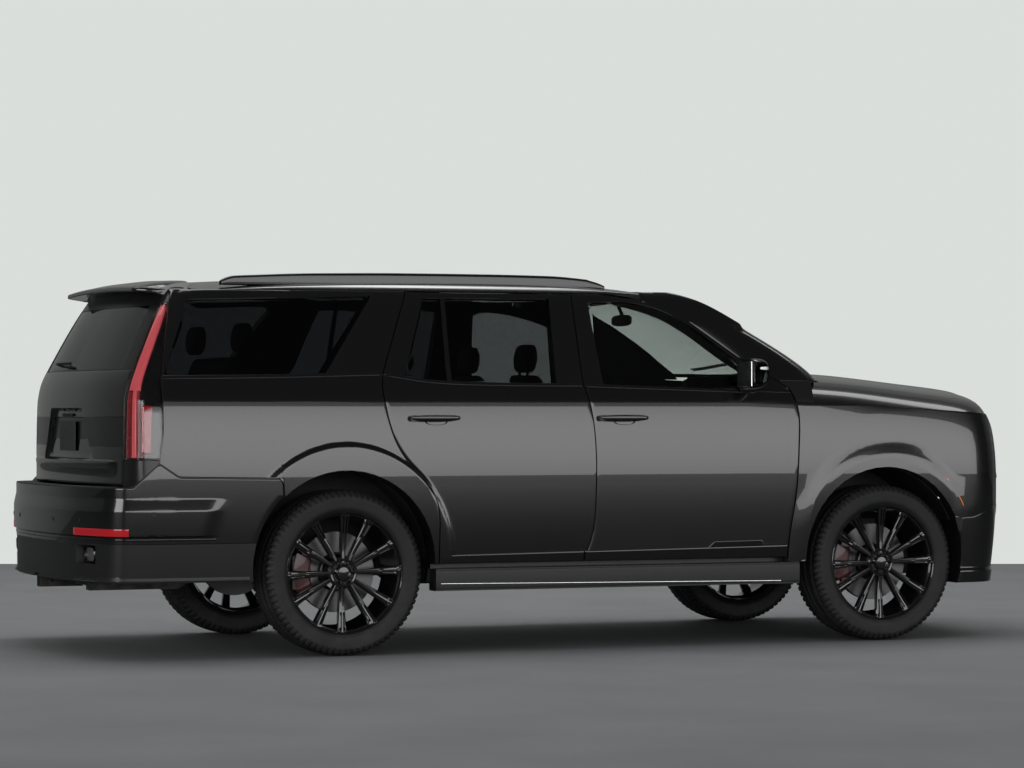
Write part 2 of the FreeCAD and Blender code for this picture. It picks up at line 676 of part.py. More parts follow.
# Rear bumper with the hidden step, wrapping round to the wheel arch
bumper_hull = hull(body_bands(0, False, True))
bumper_inside = hull(body_bands(95, False, True), False)
bumper = bumper_hull.cut(bumper_inside).common(side_prism(outline(bumper_top_line)))
bumper = bumper.cut(arch("rear", 6))
tip_y = (size("tip_y"), size("tip_y") + size("tip_width"))
tip_z = (size("tip_low"), size("tip_low") + size("tip_height"))
tip_hole = block((TAIL - 50, rear(-1000)), (tip_y[0] - 8, tip_y[1] + 8), (tip_z[0] - 8, tip_z[1] + 8))
bumper = bumper.cut(tip_hole)
bumper_cap = bumper_hull.common(block((TAIL - 50, GATE - 8), (0, 980), (815, 855)))
bumper = bumper.fuse(bumper_cap).cut(gate_hole_grown)
bumper = bumper.cut(block((TAIL - 50, rear(-1000)), (0, 40), (0, 402)))
add("rear_bumper", both(largest(bumper)))

# Front wings, bumper, grille and headlamps
nose_wall = nose.cut(nose_deep).common(below_hood)
hood_plan = [(front(-262), 0), (front(-270), 400), (front(-285), 600), (front(-298), 700), (front(-315), 862),
             (front(500), 862), (front(740), 795), (NOSE + 50, 640), (NOSE + 50, 0)]
hood_line = [(front(-560), 0), (front(-560), 870), (front(502), 870), (front(745), 803),
             (NOSE + 50, 648), (NOSE + 50, 0)]
bumper_front_line = [
    [(front(480), 655)], [(front(560), 660)], [(front(760), 725)], [(NOSE + 60, 725)], [(NOSE + 60, 300)],
    [(front(430), 300)],
]
lamp_line = [
    [(front(640), 1205)], [(front(735), 1140)], [(front(748), 735)], [(NOSE + 60, 735)],
    [(NOSE + 60, 1222)], [(front(690), 1222)],
]
grille_zone = block((front(500), NOSE + 60), (0, 640), (735, 1165))
fender = nose_shell.common(side_prism(outline(door_front_edge), 560))
fender = fender.cut(polygon_prism(hood_line, "z", (1164, 1600)))
fender = fender.cut(block((0, front(-470)), (0, 1300), (0, board_top + 4)))
fender = fender.cut(side_prism(outline(bumper_front_line, seat)))
fender = fender.cut(side_prism(outline(lamp_line, seat), 600))
fender = fender.cut(block((front(500), NOSE + 60), (0, 645), (300, 1300)))
fender = largest(fender.cut(arch("front")))
for side, sign in SIDES.items():
    add("fender_" + side, fender if sign > 0 else mirrored(fender))
front_bumper = nose_wall.common(side_prism(outline(bumper_front_line))).cut(arch("front", 6))
add("front_bumper", both(largest(front_bumper)))
headlamp = nose_wall.common(side_prism(outline(lamp_line), 640 + seat))
headlamp = headlamp.cut(polygon_prism(hood_line, "z", (1164, 1600)))
headlamp = largest(headlamp)
add("headlamps", pair(headlamp))
grille = nose_wall.common(grille_zone)
frame = size("grille_frame")
nose_recess = nose.cut(hull(body_bands(size("grille_depth"), True), False))
field = block((front(500), NOSE + 60), (0, 640 - frame), (735 + frame, 1165 - frame))
slat_pitch = (1165 - 735 - 2 * frame) / 6
slats = []
for number in range(1, 6):
    z = 735 + frame + number * slat_pitch
    slats.append(block((front(500), NOSE + 60), (0, 640), (z - 9, z + 9)))
grille = grille.cut(nose_recess.common(field).cut(slats))
add("grille", both(largest(grille)))
hood = below_hood.cut(below_lining).common(nose).common(polygon_prism(hood_plan, "z", (1170, 1600)))
hood = largest(hood)
arm_inner = size("hood_hinge_y") - 20
hood_axis = front(-330)
hood_arm = block((hood_axis - 12, front(-270)), (arm_inner, size("hood_hinge_y")), (1386, 1412))
hood_arm = hood_arm.cut(rod(size("pin_radius") + size("pin_clearance"), 60,
                            V(hood_axis, size("hood_hinge_y") - 40, 1400), "y"))
hood = hood.fuse(hood_arm.common(below_hood))
add("hood", both(hood))
ARCH_Z = "Sizes.tyre_radius + Sizes.arch_lift"
liner_drum = bound_drum("liner_drum", "Sizes.arch_radius", (FRONT, "506", ARCH_Z), "430")
liner_room = bound_drum("liner_room", "Sizes.arch_radius - Sizes.liner_thickness", (FRONT, "512", ARCH_Z),
                        "424 + 10")
liner_foot = bound_box("liner_foot", (FRONT + " - 900", FRONT + " + 900"), ("0", "1100"),
                       ("-200", "Sizes.tyre_radius + 220"))
liner = bound_cut("liner_arch", bound_cut("liner_shell", liner_drum, liner_room), liner_foot)
bound_pair("wheel_liners", liner)

# Floor, firewall and inner wheel wells
rail_low = size("rail_bottom")
rail_top = rail_low + size("rail_height")
rail_out = size("rail_spread") + size("rail_width")
rail_in = size("rail_spread")
floor_top = size("floor_height")
floor_low = floor_top - size("floor_thickness")
load_top = size("load_floor_height")
load_low = load_top - size("floor_thickness")
inner_half = HALF - size("ring_depth")
floor = block((rear(520), front(-420)), (0, inner_half), (floor_low, floor_top))
floor = floor.fuse([
    block((rear(470), rear(520)), (0, inner_half), (floor_low, load_top)),
    block((rear(-1060), rear(470)), (0, 650), (load_low, load_top)),
    block((rear(-1060), rear(-560)), (650, inner_half), (load_low, load_top)),
    block((front(-420), front(-370)), (0, inner_half), (floor_low, 1240)),
])
cowl_shelf = block((front(-420), front(-300)), (0, inner_half), (1240, 1370))
hinge_y = size("hood_hinge_y")
hood_hinge = (hood_axis, 1400)
post_top = hood_hinge[1] + 9
hood_post = block((hood_hinge[0] - 12, hood_hinge[0] + 12), (hinge_y + 2, hinge_y + 20), (1365, post_top))
hood_pin = rod(size("pin_radius"), 22, V(hood_hinge[0], hinge_y - 20, hood_hinge[1]), "y")
floor = floor.fuse([cowl_shelf, hood_post, hood_pin])
well_centre = V(REAR_AXLE, 650, HUB + size("arch_lift"))
well = Part.makeCylinder(size("arch_radius") + 18, inner_half - 650, well_centre, V(0, 1, 0))
under_well = block((rear(-600), rear(600)), (600, 1200), (-200, floor_low))
floor = floor.fuse(well).cut(arch("rear")).cut(under_well)
floor = floor.cut(arch("front", seat))
floor = floor.common(cabin_inside.fuse(block((front(-425), front(-290)), (0, 760), (1240, 1420))))
pads = []
for x in (rear(-900), rear(900), front(-900)):
    pads.append(Part.makeCylinder(35, load_low - rail_top if x < REAR_AXLE else floor_low - rail_top,
                                  V(x, size("rail_spread") + size("rail_width") / 2, rail_top)))
floor = largest(floor.fuse(pads))
add("floor_pan", both(floor))

# Ladder frame with cross members and the hitch receiver
kick = size("kick_up")
rail_side = [
    [(rear(-1180), rail_low)], [(rear(-720), rail_low)], [(rear(-440), rail_low + kick)],
    [(rear(200), rail_low + kick)], [(rear(450), rail_low)], [(front(700), rail_low)],
    [(front(700), rail_top)], [(rear(450), rail_top)], [(rear(200), rail_top + kick)],
    [(rear(-440), rail_top + kick)], [(rear(-720), rail_top)], [(rear(-1180), rail_top)],
]
rails = side_prism(outline(rail_side), rail_in, rail_out)
for x in (rear(-1130), rear(-780), rear(780), rear(1300), front(-700), FRONT_AXLE, front(600)):
    rails = rails.fuse(block((x - 35, x + 35), (0, rail_in), (rail_low + 20, rail_top)))
tower = block((FRONT_AXLE - 60, FRONT_AXLE + 60), (rail_in, rail_out), (rail_top, rail_top + 190))
rails = rails.fuse(tower)
outer_half = size("hitch_half") + size("hitch_wall")
receiver_z = rail_low + outer_half
mouth = TAIL + 10
receiver = block((mouth, rear(-1095)), (0, outer_half),
                 (receiver_z - outer_half, receiver_z + outer_half))
socket = block((mouth, mouth + size("hitch_length")), (0, size("hitch_half")),
               (receiver_z - size("hitch_half"), receiver_z + size("hitch_half")))
rails = rails.fuse(receiver).cut(socket)
pin_hole = Part.makeCylinder(size("hitch_pin_radius"), 100, V(mouth + 64, 0, receiver_z), V(0, 1, 0))
rails = rails.cut(pin_hole)
add("frame_rails", both(rails))

# Engine as one plain block
engine = bound_box(
    "engine_block", (FRONT + " - 0.45 * Sizes.engine_length", FRONT + " + 0.55 * Sizes.engine_length"),
    ("-Sizes.engine_width / 2", "Sizes.engine_width / 2"),
    ("Sizes.rail_bottom + Sizes.rail_height + Sizes.seat_gap",
     "Sizes.rail_bottom + Sizes.rail_height + Sizes.seat_gap + Sizes.engine_height"))
NODES.append(engine)

# Running boards with their brackets, and roof rails
BOARD_OUT = HALF_WIDTH + " - Sizes.board_setback"
BOARD_IN = BOARD_OUT + " - Sizes.board_width"
BOARD_TOP = "Sizes.board_bottom + Sizes.board_height"
BRACKET_LOW = BOARD_TOP + " - 108"
board_parts = [bound_box("board_left", (REAR + " + 490", FRONT + " - 510"), (BOARD_IN, BOARD_OUT),
                         ("Sizes.board_bottom", BOARD_TOP))]
for label, place in (("rear_bracket", REAR + " + 800"), ("front_bracket", FRONT + " - 900")):
    board_parts.append(bound_box(
        label, (place + " - 30", place + " + 30"),
        ("Sizes.rail_spread + Sizes.rail_width + Sizes.seat_gap", BOARD_IN),
        (BRACKET_LOW, BRACKET_LOW + " + Sizes.bracket_height")))
bound_pair("running_boards", bound_join("board_with_brackets", board_parts))
rail_crest = size("overall_height")
rail_path = [
    [(rear(-560), 1850)], [(rear(-545), 1906)],
    [(rear(-138), rail_crest - 12)], [(rear(500), rail_crest)], [(rear(900), rail_crest)],
    [(rear(1331), rail_crest - 8)], [(rear(1560), rail_crest - 52)],
    [(rear(1560), 1850)],
]
bar = side_prism(outline(rail_path), size("roof_half_width") - 18, size("roof_half_width") + 14)
bar = largest(bar.cut(sheet_block(roof_poles(), -seat)))
add("roof_rails", pair(bar))

# Wheels: tyre, rim with brake disc, hub carriers
wheel_y = size("track") / 2
arm_low = HUB - 119
arm_high = HUB + 111
half_width = size("tyre_width") / 2
rim_r = size("rim_radius")
hub_r = size("hub_radius")
hub_face = half_width - 36
rim_face = half_width - 26


def tyre(x, y):
    """A low tyre: a ring with rounded shoulders that seats on the rim."""
    profile = [(rim_r, -half_width + 22), (rim_r + 18, -half_width + 4), (rim_r + 62, -half_width),
               (HUB - 24, -half_width + 6), (HUB - 5, -half_width + 26), (HUB, 0)]
    points = [V(x + r, y + across, HUB) for r, across in profile]
    points += [V(x + r, y - across, HUB) for r, across in reversed(profile[:-1])]
    section = Part.Face(Part.makePolygon(points + [points[0]]))
    return section.revolve(V(x, y, HUB), V(0, 1, 0), 360)


def spoke(x, y, turn):
    """One spoke: a ridged bar that grows wider and reaches further out towards the rim."""
    hub_ring = [(-46, -9), (-46, 9), (-12, 13), (0, 3), (0, -3), (-12, -13)]
    rim_ring = [(-24, -17), (-24, 17), (-10, 27), (0, 5), (0, -5), (-10, -27)]
    wires = []
    for radius, ring, reach in ((hub_r - 12, hub_ring, hub_face), (rim_r - 7, rim_ring, rim_face)):
        corners = [V(radius, reach + across, side) for across, side in ring]
        wires.append(Part.makePolygon(corners + [corners[0]]))
    arm = Part.makeLoft(wires, True, True)
    arm.rotate(V(0, 0, 0), V(0, 1, 0), turn)
    arm.translate(V(x, y, HUB))
    return arm


def rim(x, y):
    """The rim barrel with its spokes, cap, lugs, brake disc and stub."""
    barrel = Part.makeCylinder(rim_r, 2 * half_width - 44, V(x, y - half_width + 22, HUB), V(0, 1, 0))
    bore = Part.makeCylinder(rim_r - size("rim_wall"), 400, V(x, y - 200, HUB), V(0, 1, 0))
    parts = [Part.makeCylinder(hub_r, 60, V(x, y + hub_face - 62, HUB), V(0, 1, 0)),
             Part.makeCylinder(size("cap_radius"), 12, V(x, y + hub_face - 4, HUB), V(0, 1, 0))]
    count = int(size("spoke_count"))
    for number in range(count):
        lean = 2 if number % 2 else -2
        parts.append(spoke(x, y, 360 * number / count + lean))
    for number in range(6):
        turn = number * pi / 3
        centre = V(x + 54 * cos(turn), y + hub_face - 6, HUB + 54 * sin(turn))
        parts.append(rod(size("lug_radius"), 14, centre, "y"))
    disc_centre = V(x, y - 45, HUB)
    parts.append(Part.makeCylinder(size("brake_radius"), size("brake_thickness"), disc_centre, V(0, 1, 0)))
    parts.append(Part.makeCylinder(hub_r, 140, V(x, y - 45, HUB), V(0, 1, 0)))
    return barrel.cut(bore).fuse(parts)


def knuckle(x, y, steered):
    """Hub carrier with its caliper over the disc; the steered one has its kingpin posts."""
    carrier = Part.makeCylinder(58, 53 - seat, V(x, y - 98, HUB), V(0, 1, 0))
    grip = size("brake_radius")
    caliper = block((-grip - 34, -grip + 62), (-45 - 24, -45 + size("brake_thickness") + 24), (-85, 85))
    slot = block((-grip - 6, -grip + 70), (-45 - 5, -45 + size("brake_thickness") + 5), (-100, 100))
    caliper = caliper.cut(slot)
    caliper.translate(V(x, y, HUB))
    arm = block((x - grip - 34, x), (y - 98, y - 69), (HUB - 30, HUB + 30))
    parts = [caliper, arm]
    if steered:
        parts.append(block((x - 30, x + 30), (y - 95, y - 58), (arm_low, arm_high)))
    return carrier.fuse(parts)


for place, x in (("front", FRONT_AXLE), ("rear", REAR_AXLE)):
    tyre_shape = tyre(x, wheel_y)
    rim_shape = rim(x, wheel_y)
    knuckle_shape = knuckle(x, wheel_y, place == "front")
    for side, sign in SIDES.items():
        add("tyre_%s_%s" % (place, side), tyre_shape if sign > 0 else mirrored(tyre_shape))
        add("rim_%s_%s" % (place, side), rim_shape if sign > 0 else mirrored(rim_shape))
        if place == "front":
            add("knuckle_" + side, knuckle_shape if sign > 0 else mirrored(knuckle_shape))

# Suspension arms, axle and exhaust
arm_end = wheel_y - 50
arm_slack = seat
arm_plan = [(front(-45), 0), (front(45), 0), (front(45), arm_end - 36), (front(12), arm_end - 12),
            (front(-12), arm_end - 12), (front(-45), arm_end - 36)]
arm_zone = polygon_prism(arm_plan, "z", (0, 1000))
lower_arm = polygon_prism(
    [(rail_out, rail_low + 20), (rail_out, rail_low + 60), (arm_end - 60, arm_low - arm_slack),
     (arm_end, arm_low - arm_slack), (arm_end, arm_low - 28), (arm_end - 60, arm_low - 28)],
    "x", (FRONT_AXLE - 45, FRONT_AXLE + 45)).common(arm_zone)
upper_arm = polygon_prism(
    [(rail_out, rail_top + 130), (rail_out, rail_top + 165), (arm_end - 60, arm_high + 24),
     (arm_end, arm_high + 24), (arm_end, arm_high + arm_slack), (arm_end - 60, arm_high + arm_slack)],
    "x", (FRONT_AXLE - 40, FRONT_AXLE + 40)).common(arm_zone)
add("front_suspension", Part.makeCompound([lower_arm, upper_arm, mirrored(lower_arm), mirrored(upper_arm)]))
carrier = knuckle(REAR_AXLE, wheel_y, False)
beam = Part.makeCylinder(42, wheel_y - 97, V(REAR_AXLE, 0, HUB), V(0, 1, 0))
spring = Part.makeCylinder(45, rail_low + kick - HUB, V(REAR_AXLE, rail_in + 40, HUB))
add("rear_axle", both(beam.fuse([carrier, spring])))
RAIL_OUT = "Sizes.rail_spread + Sizes.rail_width + Sizes.seat_gap"
muffler = bound_box("muffler", (REAR + " - 1100", REAR + " - 760"), (RAIL_OUT, "740"),
                    ("Sizes.rail_bottom + 60", "Sizes.rail_bottom + Sizes.rail_height + 140"))
tips = bound_box("exhaust_tips", (REAR + " - 1230", REAR + " - 1100"),
                 ("Sizes.tip_y", "Sizes.tip_y + Sizes.tip_width"),
                 ("Sizes.tip_low", "Sizes.tip_low + Sizes.tip_height"))
bound_pair("exhaust", bound_join("muffler_with_tips", [muffler, tips]))

# Seats, dashboard and steering wheel


def chair(x, width, low, cushion_top, back_top):
    """A seat from its front edge: base with cushion, leaning back and head restraint."""
    lean = 0.2 * (back_top - cushion_top)
    cushion = block((x - 520, x), (-width / 2, width / 2), (low + seat, cushion_top))
    corners = [
        V(x - 540, -width / 2, cushion_top - 120), V(x - 400, -width / 2, cushion_top - 20),
        V(x - 400 - lean, -width / 2, back_top), V(x - 510 - lean, -width / 2, back_top),
    ]
    back = Part.Face(Part.makePolygon(corners + [corners[0]])).extrude(V(0, width, 0))
    rest = block((x - 500 - lean, x - 410 - lean), (-130, 130), (back_top - 20, back_top + 170))
    return cushion.fuse([back, rest])


places = []
for x in (front(-1280), rear(1080)):
    one_seat = chair(x, 540, floor_top, floor_top + 330, floor_top + 900)
    one_seat.translate(V(0, 410, 0))
    places.append(one_seat)
add("seats", Part.makeCompound([both_side for one in places for both_side in (one, mirrored(one))]))
bench = chair(rear(180), 1180, load_top, load_top + 270, load_top + 700)
add("rear_bench", bench)
dash = block((front(-860), front(-420)), (0, inner_half), (900, 1290))
dash = both(dash.common(cabin_inside).cut(floor))
add("dashboard", dash)
grip = [V(15 * cos(number * pi / 4), 185 + 15 * sin(number * pi / 4), 0) for number in range(8)]
wheel = Part.Face(Part.makePolygon(grip + [grip[0]])).revolve(V(0, 0, 0), V(1, 0, 0), 360)
crossbar = block((-12, 12), (-180, 180), (-26, 22))
lower_arm_z = -178
lower_spoke = block((-10, 10), (-22, 22), (lower_arm_z, 0))
column = rod(30, 260, V(0, 0, 0), "x")
wheel = wheel.fuse([crossbar, lower_spoke, column])
wheel.rotate(V(0, 0, 0), V(0, 1, 0), 24)
wheel.translate(V(front(-990), 410, 1120))
add("steering_wheel", largest(wheel.cut(dash)))

# Door mirrors
mirror_sections = []
for y, back, ahead, low, high in ((990, -872, -792, 1362, 1490), (1040, -880, -764, 1346, 1509),
                                  (1140, -876, -772, 1348, 1508), (1180, -862, -808, 1372, 1484)):
    cut_back = 24
    corners = [(back, low), (ahead - cut_back, low), (ahead, low + cut_back),
               (ahead, high - cut_back), (ahead - cut_back, high), (back, high)]
    corners = [V(front(x), y, z) for x, z in corners]
    mirror_sections.append(Part.makePolygon(corners + [corners[0]]))
mirror_body = Part.makeLoft(mirror_sections, True, True)
mirror_foot = block((front(-850), front(-790)), (960, 1040), (1290, 1365))
mirror = largest(mirror_body.fuse(mirror_foot).cut(cabin))
for side, sign in SIDES.items():
    add("mirror_" + side, mirror if sign > 0 else mirrored(mirror))

doc.recompute()
for item in doc.Objects:
    if "Invalid" in item.State or "Error" in item.State:
        raise RuntimeError("failed: " + item.Label)
for node in NODES:
    if node.Shape.isNull() or not node.Shape.isValid():
        raise RuntimeError("bad shape: " + node.Label)
os.makedirs("parts", exist_ok=True)
for node in NODES:
    node.Shape.exportStep("parts/%s.step" % node.Label)
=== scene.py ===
"""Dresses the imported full-size sport utility vehicle: painted skins over its solids, glass, lamps,
grille, wheels, trim, cabin and the studio round it. All lengths are metres in the row's frame."""
import bmesh
import bpy
import json
import math
import numpy as np
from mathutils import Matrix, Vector


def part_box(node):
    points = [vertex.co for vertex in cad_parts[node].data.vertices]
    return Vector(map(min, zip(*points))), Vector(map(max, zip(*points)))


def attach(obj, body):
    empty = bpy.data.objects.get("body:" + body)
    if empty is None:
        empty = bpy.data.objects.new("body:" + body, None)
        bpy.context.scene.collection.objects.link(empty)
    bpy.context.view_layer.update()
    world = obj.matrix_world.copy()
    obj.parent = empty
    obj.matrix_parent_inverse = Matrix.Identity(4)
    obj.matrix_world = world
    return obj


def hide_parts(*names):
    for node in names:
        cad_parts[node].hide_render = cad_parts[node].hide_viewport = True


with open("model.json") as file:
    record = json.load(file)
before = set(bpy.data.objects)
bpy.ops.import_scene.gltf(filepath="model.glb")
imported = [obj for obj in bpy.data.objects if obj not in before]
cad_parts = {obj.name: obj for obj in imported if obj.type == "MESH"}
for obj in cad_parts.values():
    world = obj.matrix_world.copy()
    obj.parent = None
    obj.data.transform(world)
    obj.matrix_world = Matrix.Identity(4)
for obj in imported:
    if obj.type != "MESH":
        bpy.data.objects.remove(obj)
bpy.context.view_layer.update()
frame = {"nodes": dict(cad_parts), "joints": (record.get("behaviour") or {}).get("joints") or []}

bl_info = {
    "name": "Sport utility vehicle dresser",
    "version": (1, 0, 0),
    "blender": (4, 5, 0),
    "location": "View3D > Sidebar > Vehicle",
    "description": "Builds the skins, glass, lamps, wheels, trim and cabin of a sport utility vehicle",
    "category": "Add Mesh",
}

JOINTS = {joint["name"]: joint for joint in frame["joints"]}
REAR_AXLE = JOINTS["spin_wheel_rear_left"]["pos_m"][0]
FRONT_AXLE, WHEEL_Y, HUB = JOINTS["spin_wheel_front_left"]["pos_m"]
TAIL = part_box("rear_bumper")[0][0]
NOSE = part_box("front_bumper")[1][0]
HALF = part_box("rear_bumper")[1][1] + 0.0002
GATE = TAIL + 0.150
BOTTOM = 0.400
WAIST = 0.900
CREASE = 1.283
BELT = 1.390
GUTTER = 1.852
COWL = FRONT_AXLE - 0.230
ROOF = 1.938
B_PILLAR = FRONT_AXLE - 1.756
SIDES = {"left": 1.0, "right": -1.0}
SHUT = 0.0025
PROUD = 0.0012


def rear(distance):
    """An x position ahead of the rear axle."""
    return REAR_AXLE + distance


def front(distance):
    """An x position ahead of the front axle."""
    return FRONT_AXLE + distance


# Splines


def weights(count, t):
    """Cox-de Boor weights of a clamped uniform B-spline, cubic where the poles allow: len(t) x count."""
    degree = min(3, count - 1)
    spans = count - degree
    knots = np.concatenate([np.zeros(degree), np.arange(spans + 1.0), np.full(degree, float(spans))])
    x = np.clip(np.asarray(t, float), 0, 1)[:, None] * spans
    row = ((knots[None, :-1] <= x) & (x < knots[None, 1:])).astype(float)
    row[x[:, 0] >= spans, count - 1] = 1
    for step in range(1, degree + 1):
        below = knots[step:-1] - knots[:-step - 1]
        above = knots[step + 1:] - knots[1:-step]
        rise = (x - knots[None, :-step - 1]) / np.where(below > 0, below, 1) * (below > 0)
        fall = (knots[None, step + 1:] - x) / np.where(above > 0, above, 1) * (above > 0)
        row = rise * row[:, :-1] + fall * row[:, 1:]
    return row


def solve(function, target, low, high):
    """Where a rising function meets its target: halving steps, then secant steps, on whole arrays."""
    low = np.full(target.shape, float(low))
    high = np.full(target.shape, float(high))
    for _ in range(9):
        middle = (low + high) / 2
        under = function(middle) < target
        low = np.where(under, middle, low)
        high = np.where(under, high, middle)
    f_low, f_high = function(low) - target, function(high) - target
    for _ in range(3):
        spread = f_high - f_low
        guess = low - f_low * (high - low) / np.where(abs(spread) > 1e-12, spread, 1)
        guess = np.clip(guess, low, high)
        f_guess = function(guess) - target
        low, f_low = np.where(f_guess < 0, guess, low), np.where(f_guess < 0, f_guess, f_low)
        high, f_high = np.where(f_guess < 0, high, guess), np.where(f_guess < 0, f_high, f_guess)
    spread = f_high - f_low
    return np.clip(low - f_low * (high - low) / np.where(abs(spread) > 1e-12, spread, 1), low, high)


def curve(points, count=60):
    """A natural cubic spline through points, by chord length, as an even array of points."""
    points = np.asarray(points, float)
    if len(points) == 2:
        return points[0] + (points[1] - points[0]) * np.linspace(0, 1, count)[:, None]
    t = np.concatenate([[0], np.cumsum(np.linalg.norm(np.diff(points, axis=0), axis=1))])
    gap = np.diff(t)
    size = len(points)
    matrix = np.eye(size)
    right = np.zeros((size, points.shape[1]))
    inner = np.arange(1, size - 1)
    matrix[inner, inner - 1] = gap[:-1]
    matrix[inner, inner] = 2 * (gap[:-1] + gap[1:])
    matrix[inner, inner + 1] = gap[1:]
    slope = np.diff(points, axis=0) / gap[:, None]
    right[1:-1] = 6 * np.diff(slope, axis=0)
    bend = np.linalg.solve(matrix, right)
    s = np.linspace(0, t[-1], count)
    k = np.clip(np.searchsorted(t, s, side="right") - 1, 0, size - 2)
    a = ((t[k + 1] - s) / gap[k])[:, None]
    b = 1 - a
    h = (gap[k] ** 2)[:, None] / 6
    return a * points[k] + b * points[k + 1] + ((a ** 3 - a) * bend[k] + (b ** 3 - b) * bend[k + 1]) * h


def spread(path, count, ends=0.0):
    """A path resampled to evenly spaced points. A share of ends above 0 crowds them at both ends."""
    path = np.asarray(path, float)
    lengths = np.linalg.norm(np.diff(path, axis=0), axis=1)
    t = np.concatenate([[0], np.cumsum(lengths)])
    s = np.linspace(0, 1, count)
    s = (1 - ends) * s + ends * (3 * s ** 2 - 2 * s ** 3)
    return np.stack([np.interp(s * t[-1], t, path[:, axis]) for axis in range(path.shape[1])], axis=1)


def join(*paths):
    """Paths laid end to end."""
    return np.concatenate([np.asarray(path, float) for path in paths])


# The body's form


def hull_rows(kind):
    """Rows of a hull, low to high, in a band below the crease and one above it. Columns are height,
    half width, tail x, nose x and how far the row falls towards the nose."""
    low = {"cabin": BOTTOM, "nose": 0.300, "bumper": 0.385}[kind]
    crease_w, belt_w, gutter_w = HALF - 0.018, HALF - 0.063, HALF - 0.211
    slope = (belt_w - gutter_w) / (GUTTER - BELT)
    lower = [(low, HALF - 0.030, 0, 0.030, 0), (0.560, HALF - 0.009, 0, 0, 0),
             (WAIST - 0.100, HALF + 0.002, 0, 0, 0), (WAIST + 0.130, HALF + 0.002, 0, 0, 0.5),
             (CREASE - 0.080, HALF - 0.008, 0, 0.022, 1), (CREASE, crease_w, 0.002, 0.045, 1)]
    upper = [(CREASE, crease_w, 0.002, 0.045, 1), (BELT - 0.030, belt_w + 0.022, 0.008, 0.080, 1),
             (BELT + 0.020, belt_w - 0.004, 0.022, 0.110, 0.6),
             (BELT + 0.150, belt_w - 0.150 * slope, 0.085, 0.280, 0),
             (BELT + 0.310, belt_w - 0.310 * slope, 0.165, 0.560, 0),
             (GUTTER - 0.022, gutter_w + 0.007, 0.245, 0.780, 0),
             (GUTTER + 0.020, gutter_w - 0.024, 0.275, 1.000, 0),
             (GUTTER + 0.046, gutter_w - 0.070, 0.300, 1.120, 0),
             (GUTTER + 0.070, gutter_w - 0.170, 0.330, 1.250, 0)]
    bands = []
    for band in (lower, upper):
        rows = np.array(band, float)
        if kind == "bumper":
            rows[:, 2] = TAIL + 0.040 * (rows[:, 0] > WAIST + 0.200)
        else:
            rows[:, 2] = GATE + rows[:, 2]
        if kind == "nose":
            rows[:, 3] = NOSE - rows[:, 3]
        else:
            rows[:, 3] = COWL - np.maximum(0, rows[:, 3] - 0.110)
            rows[:, 4] = 0
        bands.append(rows)
    return bands


HULLS = {kind: hull_rows(kind) for kind in ("cabin", "nose", "bumper")}
NOSE_FALL = 0.075 * np.array([0, 0.2, 0.7, 0.9, 1, 1, 1])


def hull_fall(kind, v):
    """How far rows that fall have fallen at plan station v."""
    if kind != "nose":
        return np.zeros(len(v))
    return weights(7, v - 2) @ NOSE_FALL * (v > 2)


def hull(kind, v, z):
    """A point of a hull at plan station v (0 to 1 round the tail, 1 to 2 along the flank, 2 to 3
    round the nose) and height z: rows are blended up to z, and their poles along v."""
    v, z = np.broadcast_arrays(np.asarray(v, float), np.asarray(z, float))
    shape = v.shape
    v, z = v.ravel(), z.ravel()
    fall = hull_fall(kind, v)
    above = z > CREASE - fall * HULLS[kind][0][-1, 4]
    row = np.empty((len(v), 5))
    for rows, chosen in ((HULLS[kind][0], ~above), (HULLS[kind][1], above)):
        if chosen.any():
            drop = fall[chosen]

            def height(u, rows=rows, drop=drop):
                """Height of the blended row at u."""
                blend = weights(len(rows), u) @ rows
                return blend[:, 0] - drop * blend[:, 4]
            u = solve(height, z[chosen], 0, 1)
            row[chosen] = weights(len(rows), u) @ rows
    side, tail, nose = row[:, 1], row[:, 2], row[:, 3]
    bow_t, bow_n = (0.150 if kind == "bumper" else 0.095), (0.240 if kind == "nose" else 0.115)
    turn_t, turn_n = (0.150 if kind == "bumper" else 0.110), (0.190 if kind == "nose" else 0.080)
    a, b = rear(0.150), front(-0.820)
    one = np.ones(len(v))
    back_x = np.stack([tail, tail, tail + 0.6 * bow_t, tail + bow_t, tail + bow_t + 0.9 * turn_t,
                       rear(-0.400) * one, a * one], axis=1)
    back_y = np.stack([0 * side, 0.40 * side, 0.78 * side, side - 0.35 * turn_t, side - 0.06 * turn_t,
                       side, side], axis=1)
    ahead_x = np.stack([b * one, b + 0.35 * (nose - bow_n - turn_n - b), nose - bow_n - 0.9 * turn_n,
                        nose - bow_n, nose - 0.6 * bow_n, nose, nose], axis=1)
    ahead_y = np.stack([side, side, side - 0.06 * turn_n, side - 0.35 * turn_n, 0.70 * side,
                        0.36 * side, 0 * side], axis=1)
    w_back, w_ahead = weights(7, v), weights(7, v - 2)
    x = np.where(v < 1, (w_back * back_x).sum(1),
                 np.where(v > 2, (w_ahead * ahead_x).sum(1), a + (b - a) * (v - 1)))
    y = np.where(v < 1, (w_back * back_y).sum(1), np.where(v > 2, (w_ahead * ahead_y).sum(1), side))
    return np.stack([x, y, z], axis=1).reshape(shape + (3,))


def station(kind, x, z):
    """The plan station of the point at x and z on the left side of a hull."""
    x, z = np.broadcast_arrays(np.asarray(x, float), np.asarray(z, float))
    found = solve(lambda v: hull(kind, v, z.ravel())[:, 0], x.ravel(), 0, 3)
    return found.reshape(x.shape)


def tail_station(kind, y, z):
    """The plan station of the point at y and z on the left half of a hull's tail."""
    y, z = np.broadcast_arrays(np.asarray(y, float), np.asarray(z, float))
    found = solve(lambda v: hull(kind, v, z.ravel())[:, 1], y.ravel(), 0, 1)
    return found.reshape(y.shape)


